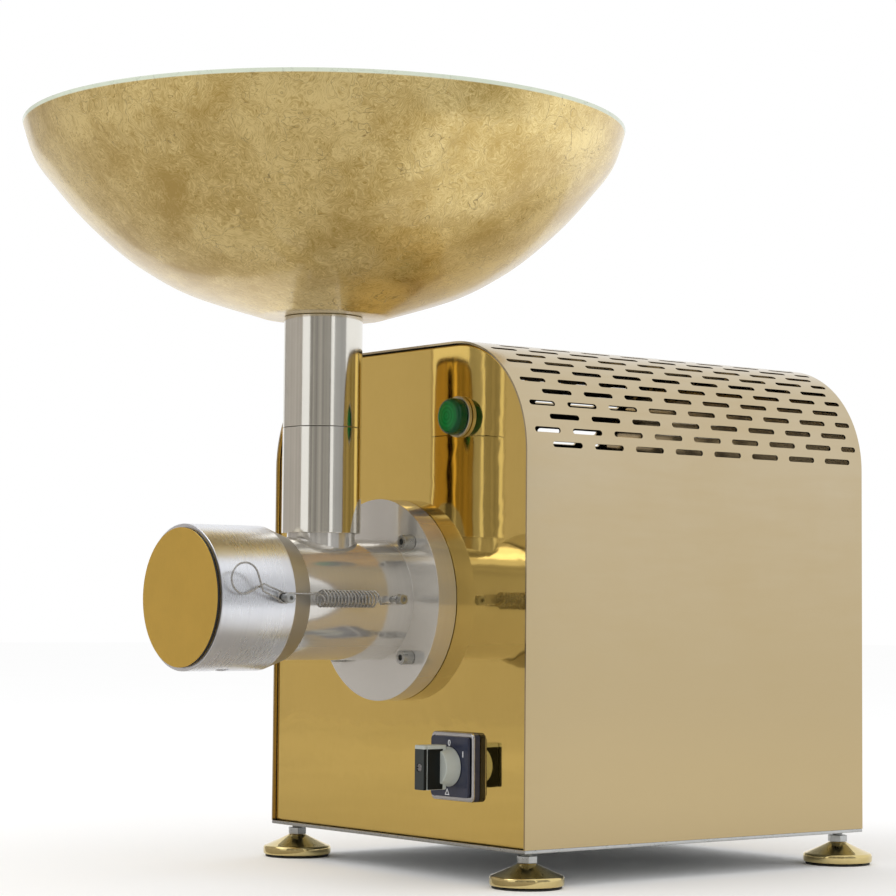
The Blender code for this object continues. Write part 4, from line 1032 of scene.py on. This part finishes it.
def placeMark(name, work):
    # white print on the label of the switch
    mark = makePiece(name, atSwitch(work, 0.0086), "print", 30)
    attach(mark, "housing")


for name, (letter, turn, reach) in marks.items():
    shape = bpy.data.curves.new(name + "Text", "FONT")
    shape.body = letter
    shape.size = markSize
    shape.align_x = "CENTER"
    shape.align_y = "CENTER"
    shape.extrude = markDepth / 2
    shape.offset = 0.00008
    angle = radians(turn)
    place = (reach * sin(angle), reach * cos(angle), 0.00006)
    placeMark(name, move(curveForm(shape), place))
pointer = flatForm([[(-0.0046, -0.0198), (0.0006, -0.0198), (-0.002, -0.0153)],
                    [(-0.0036, -0.0192), (-0.0004, -0.0192), (-0.002, -0.0165)]])
raiseSheet(pointer, markDepth)
placeMark("switchPointer", pointer)

grip = dict(size=(0.011, 0.031), back=0.006, end=0.0231, cover=0.0027, blackFrom=0.0096,
            paleFrom=0.0128, blackWithin=0.0058)
bossSide = softCorners([(0, 0), (0.014, 0), (0.0125, 0.012), (0, 0.012)], 0.0008)
knob = spunForm(bossSide, 72)
handle = boxForm((*grip["size"], grip["end"] - grip["back"]), 0.0011, 4)
knob = carve(knob, move(handle, (0, 0, (grip["back"] + grip["end"]) / 2)), "UNION")
knob = carve(knob, move(prismForm(32, 0.0034, 0.0389), (0, 0, -0.0329)), "UNION")
cutAcross(knob, (0, 0, grip["blackFrom"]), (0, 0, 1))
cutAcross(knob, (0, grip["paleFrom"], 0), (0, 1, 0))
for face in knob.faces:
    middle = face.calc_center_median()
    onGrip = middle.z > grip["blackFrom"] and abs(middle.x) < grip["blackWithin"]
    if onGrip and middle.y < grip["paleFrom"]:
        face.material_index = int(abs(face.normal.x) > 0.6)
standIn("switch_knob", atSwitch(knob, 0.0089), "grey black", 30)
gripTop = boxForm((*grip["size"], grip["cover"]), 0.0007)
gripTop = carve(gripTop, move(prismForm(32, 0.0029, 0.004), (0, 0, -0.00025)))
cutAcross(gripTop, (0, grip["paleFrom"], 0), (0, 1, 0))
# the grip's front faces take the lighter copy of the black as a painted highlight; its sides stay black
# and its upper end pale grey
for face in gripTop.faces:
    pale = face.calc_center_median().y > grip["paleFrom"]
    face.material_index = 2 if pale else int(abs(face.normal.x) < 0.6)
gripTop = atSwitch(gripTop, 0.0323 + grip["cover"] / 2)
standIn("grip_cover", gripTop, "black charcoal grey", 30)
screwSide = softCorners([(0, 0), (0.0026, 0), (0.0026, 0.001), (0, 0.001)], 0.0002)
screw = carve(spunForm(screwSide, 32), move(boxForm((0.006, 0.0007, 0.001)), (0, 0, 0.001)))
standIn("knob_screw", atSwitch(screw, 0.0337), "slotted", 30)
print("switch made")


def atLamp(work):
    return move(work, (lampX, frontY, lampZ), "front")


lensSide = [(0, 0.0124), (0.006, 0.0123), (0.0102, 0.0118), (0.012, 0.0108), (0.0129, 0.0092),
            (0.0131, 0.0072), (0.0131, 0.0037)]
lens = [tuple(p) for p in smoothCurve(lensSide, 5)] + [(0, 0.0037)]
standIn("lamp_lens", atLamp(spunForm(lens, 96)), "lens", 40)
stemSide = softCorners([(0, 0.0034), (0.0146, 0.0034), (0.0146, 0.0003), (0.0108, 0.0003),
                        (0.0108, -0.038), (0, -0.038)], 0.0007)
standIn("lamp_body", atLamp(spunForm(stemSide, 96)), "bezel", 30)

socket = dict(flange=(0.05, 0.003, 0.028), depth=0.024, hollow=(0.022, 0.021, 0.015),
              pin=(0.002, 0.015, 0.004), pins=((-0.007, -0.002), (0, 0.002), (0.007, -0.002)))
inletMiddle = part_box("power_inlet")[1].y - socket["flange"][1] / 2
inletDepth = socket["depth"] + socket["flange"][1] / 2
inlet = boxForm(socket["flange"], 0.0008)
shroud = boxForm((0.027, inletDepth, 0.02), 0.0015)
inlet = carve(inlet, move(shroud, (0, -inletDepth / 2, 0)), "UNION")
inlet = carve(inlet, move(boxForm(socket["hollow"], 0.0012), (0, -0.005, 0)))
for x, z in socket["pins"]:
    inlet = carve(inlet, move(boxForm(socket["pin"], 0.0003, 2), (x, -0.011, z)), "UNION")
standIn("power_inlet", move(inlet, (inletX, inletMiddle, inletZ)), "black", 30)
print("lamp and inlet made")

# Pieces kept as packed get finer looks
kept = {"cast": ("motor_front_bell", "motor_rear_bell", "motor_stator"),
        "burr": ("auger", "turning_burr", "fixed_burr", "motor_rotor", "bearing_front", "bearing_rear"),
        "zinc": ("motor_cradle", "capacitor_clip", "lamp_nut"),
        "black": ("fan_cowl", "motor_fan", "terminal_box", "switch_body"),
        "grey": ("run_capacitor",)}
for look, nodes in kept.items():
    for node in nodes:
        item = frame["nodes"][node]
        for spot in item.material_slots:
            spot.link = "OBJECT"
            spot.material = finish[look]

# Camera, floor and light
scene = bpy.context.scene
lookout = dict(lens=101.69, sensor=36, place=(1.47936, -1.13905, 0.18595),
               right=(0.61608, 0.78764, 0.00822), up=(0.04669, -0.04694, 0.99781),
               forward=(-0.78630, 0.61435, 0.06569))
camera = addObject("camera", bpy.data.cameras.new("camera"))
camera.data.lens = lookout["lens"]
camera.data.sensor_width = lookout["sensor"]
camera.data.clip_end = 50
axes = (Vector(lookout["right"]), Vector(lookout["up"]), -Vector(lookout["forward"]))
camera.matrix_world = Matrix.Translation(lookout["place"]) @ Matrix(axes).transposed().to_4x4()
scene.camera = camera

studio = dict(ambient=1.0, keyPower=14, fillPower=3, floor=0.985, ground=(0.43, 0.4, 0.36))
# per upright card: both ends of its foot, height, colour and how much its bands differ
cards = {"leftCard": ((-3.4, 0.1), (-0.4, -3.2), 3, (0.425, 0.395, 0.365), 0.08),
         "aheadCard": ((0.9, -3.2), (3.4, -0.8), 4, (0.3, 0.285, 0.26), 0.45),
         "rightCard": ((1.1, -0.15), (0.86, 0.5), 0.9, (0.36, 0.36, 0.36), 0.2)}


def studioWorld():
    # one even white all round
    world = bpy.data.worlds.new("studio")
    world.use_nodes = True
    sky = world.node_tree.nodes["Background"]
    sky.inputs["Color"].default_value = (1, 1, 1, 1)
    sky.inputs["Strength"].default_value = studio["ambient"]
    scene.world = world


def softLight(name, place, target, size, power):
    light = bpy.data.lights.new(name, "AREA")
    light.shape = "RECTANGLE"
    light.size, light.size_y = size
    light.energy = power
    item = addObject(name, light)
    item.location = place
    item.rotation_euler = (Vector(target) - Vector(place)).to_track_quat("-Z", "Y").to_euler()


def stagePiece(name, work, made):
    finish[name] = made
    item = makePiece(name, work, name)
    return item


def stageSheet(name, work, color, rough):
    made, tree, shader, coords = startMaterial(name + "Look", color, rough, 0.0,
                                               Specular_IOR_Level=0.0)
    shade = tuple(c * 0.985 for c in color)
    tree.links.new(tint(tree, noise(tree, coords, 3.0), shade, color), shader.inputs["Base Color"])
    stagePiece(name, work, made)


def reflectedCard(name, corners, color, change):
    # a card beside the object that only its polished surfaces show, with soft upright bands
    work = bmesh.new()
    work.faces.new([work.verts.new(corner) for corner in corners])
    made, tree, shader, coords = startMaterial(name + "Look", color, 0.8, 0.0)
    bands = noise(tree, stretched(tree, coords, (1.0, 1.0, 0.05)), 2.6)
    mask = spread(tree, bands, 0.0, 1.0)
    ends = [tuple(c * share for c in color) for share in (1 - change, 1 + change)]
    tree.links.new(tint(tree, mask, *ends), shader.inputs["Base Color"])
    item = stagePiece(name, work, made)
    for kind in ("camera", "diffuse", "shadow", "transmission"):
        setattr(item, "visible_" + kind, False)


studioWorld()
softLight("keyLight", (-0.9, -1.9, 2.2), (0, 0, 0.25), (1.6, 1.6), studio["keyPower"])
softLight("fillLight", (2.4, 0.3, 1.2), (0, 0, 0.25), (1.2, 1.2), studio["fillPower"])
ground = bmesh.new()
bmesh.ops.create_grid(ground, x_segments=1, y_segments=1, size=12)
stageSheet("floorSheet", ground, (studio["floor"],) * 3, 0.6)
for name, ((x1, y1), (x2, y2), height, color, change) in cards.items():
    corners = [(x1, y1, 0), (x2, y2, 0), (x2, y2, height), (x1, y1, height)]
    reflectedCard(name, corners, color, change)
groundCorners = [(-3.4, 0.1, 0.001), (-0.4, -3.2, 0.001), (0.9, -3.2, 0.001), (3.4, -0.8, 0.001),
                 (3.4, 0.5, 0.001), (0.25, -0.05, 0.001), (-0.25, -0.05, 0.001)]
reflectedCard("groundCard", groundCorners, studio["ground"], 0.1)
scene.view_settings.view_transform = "Standard"

print("scene ready")
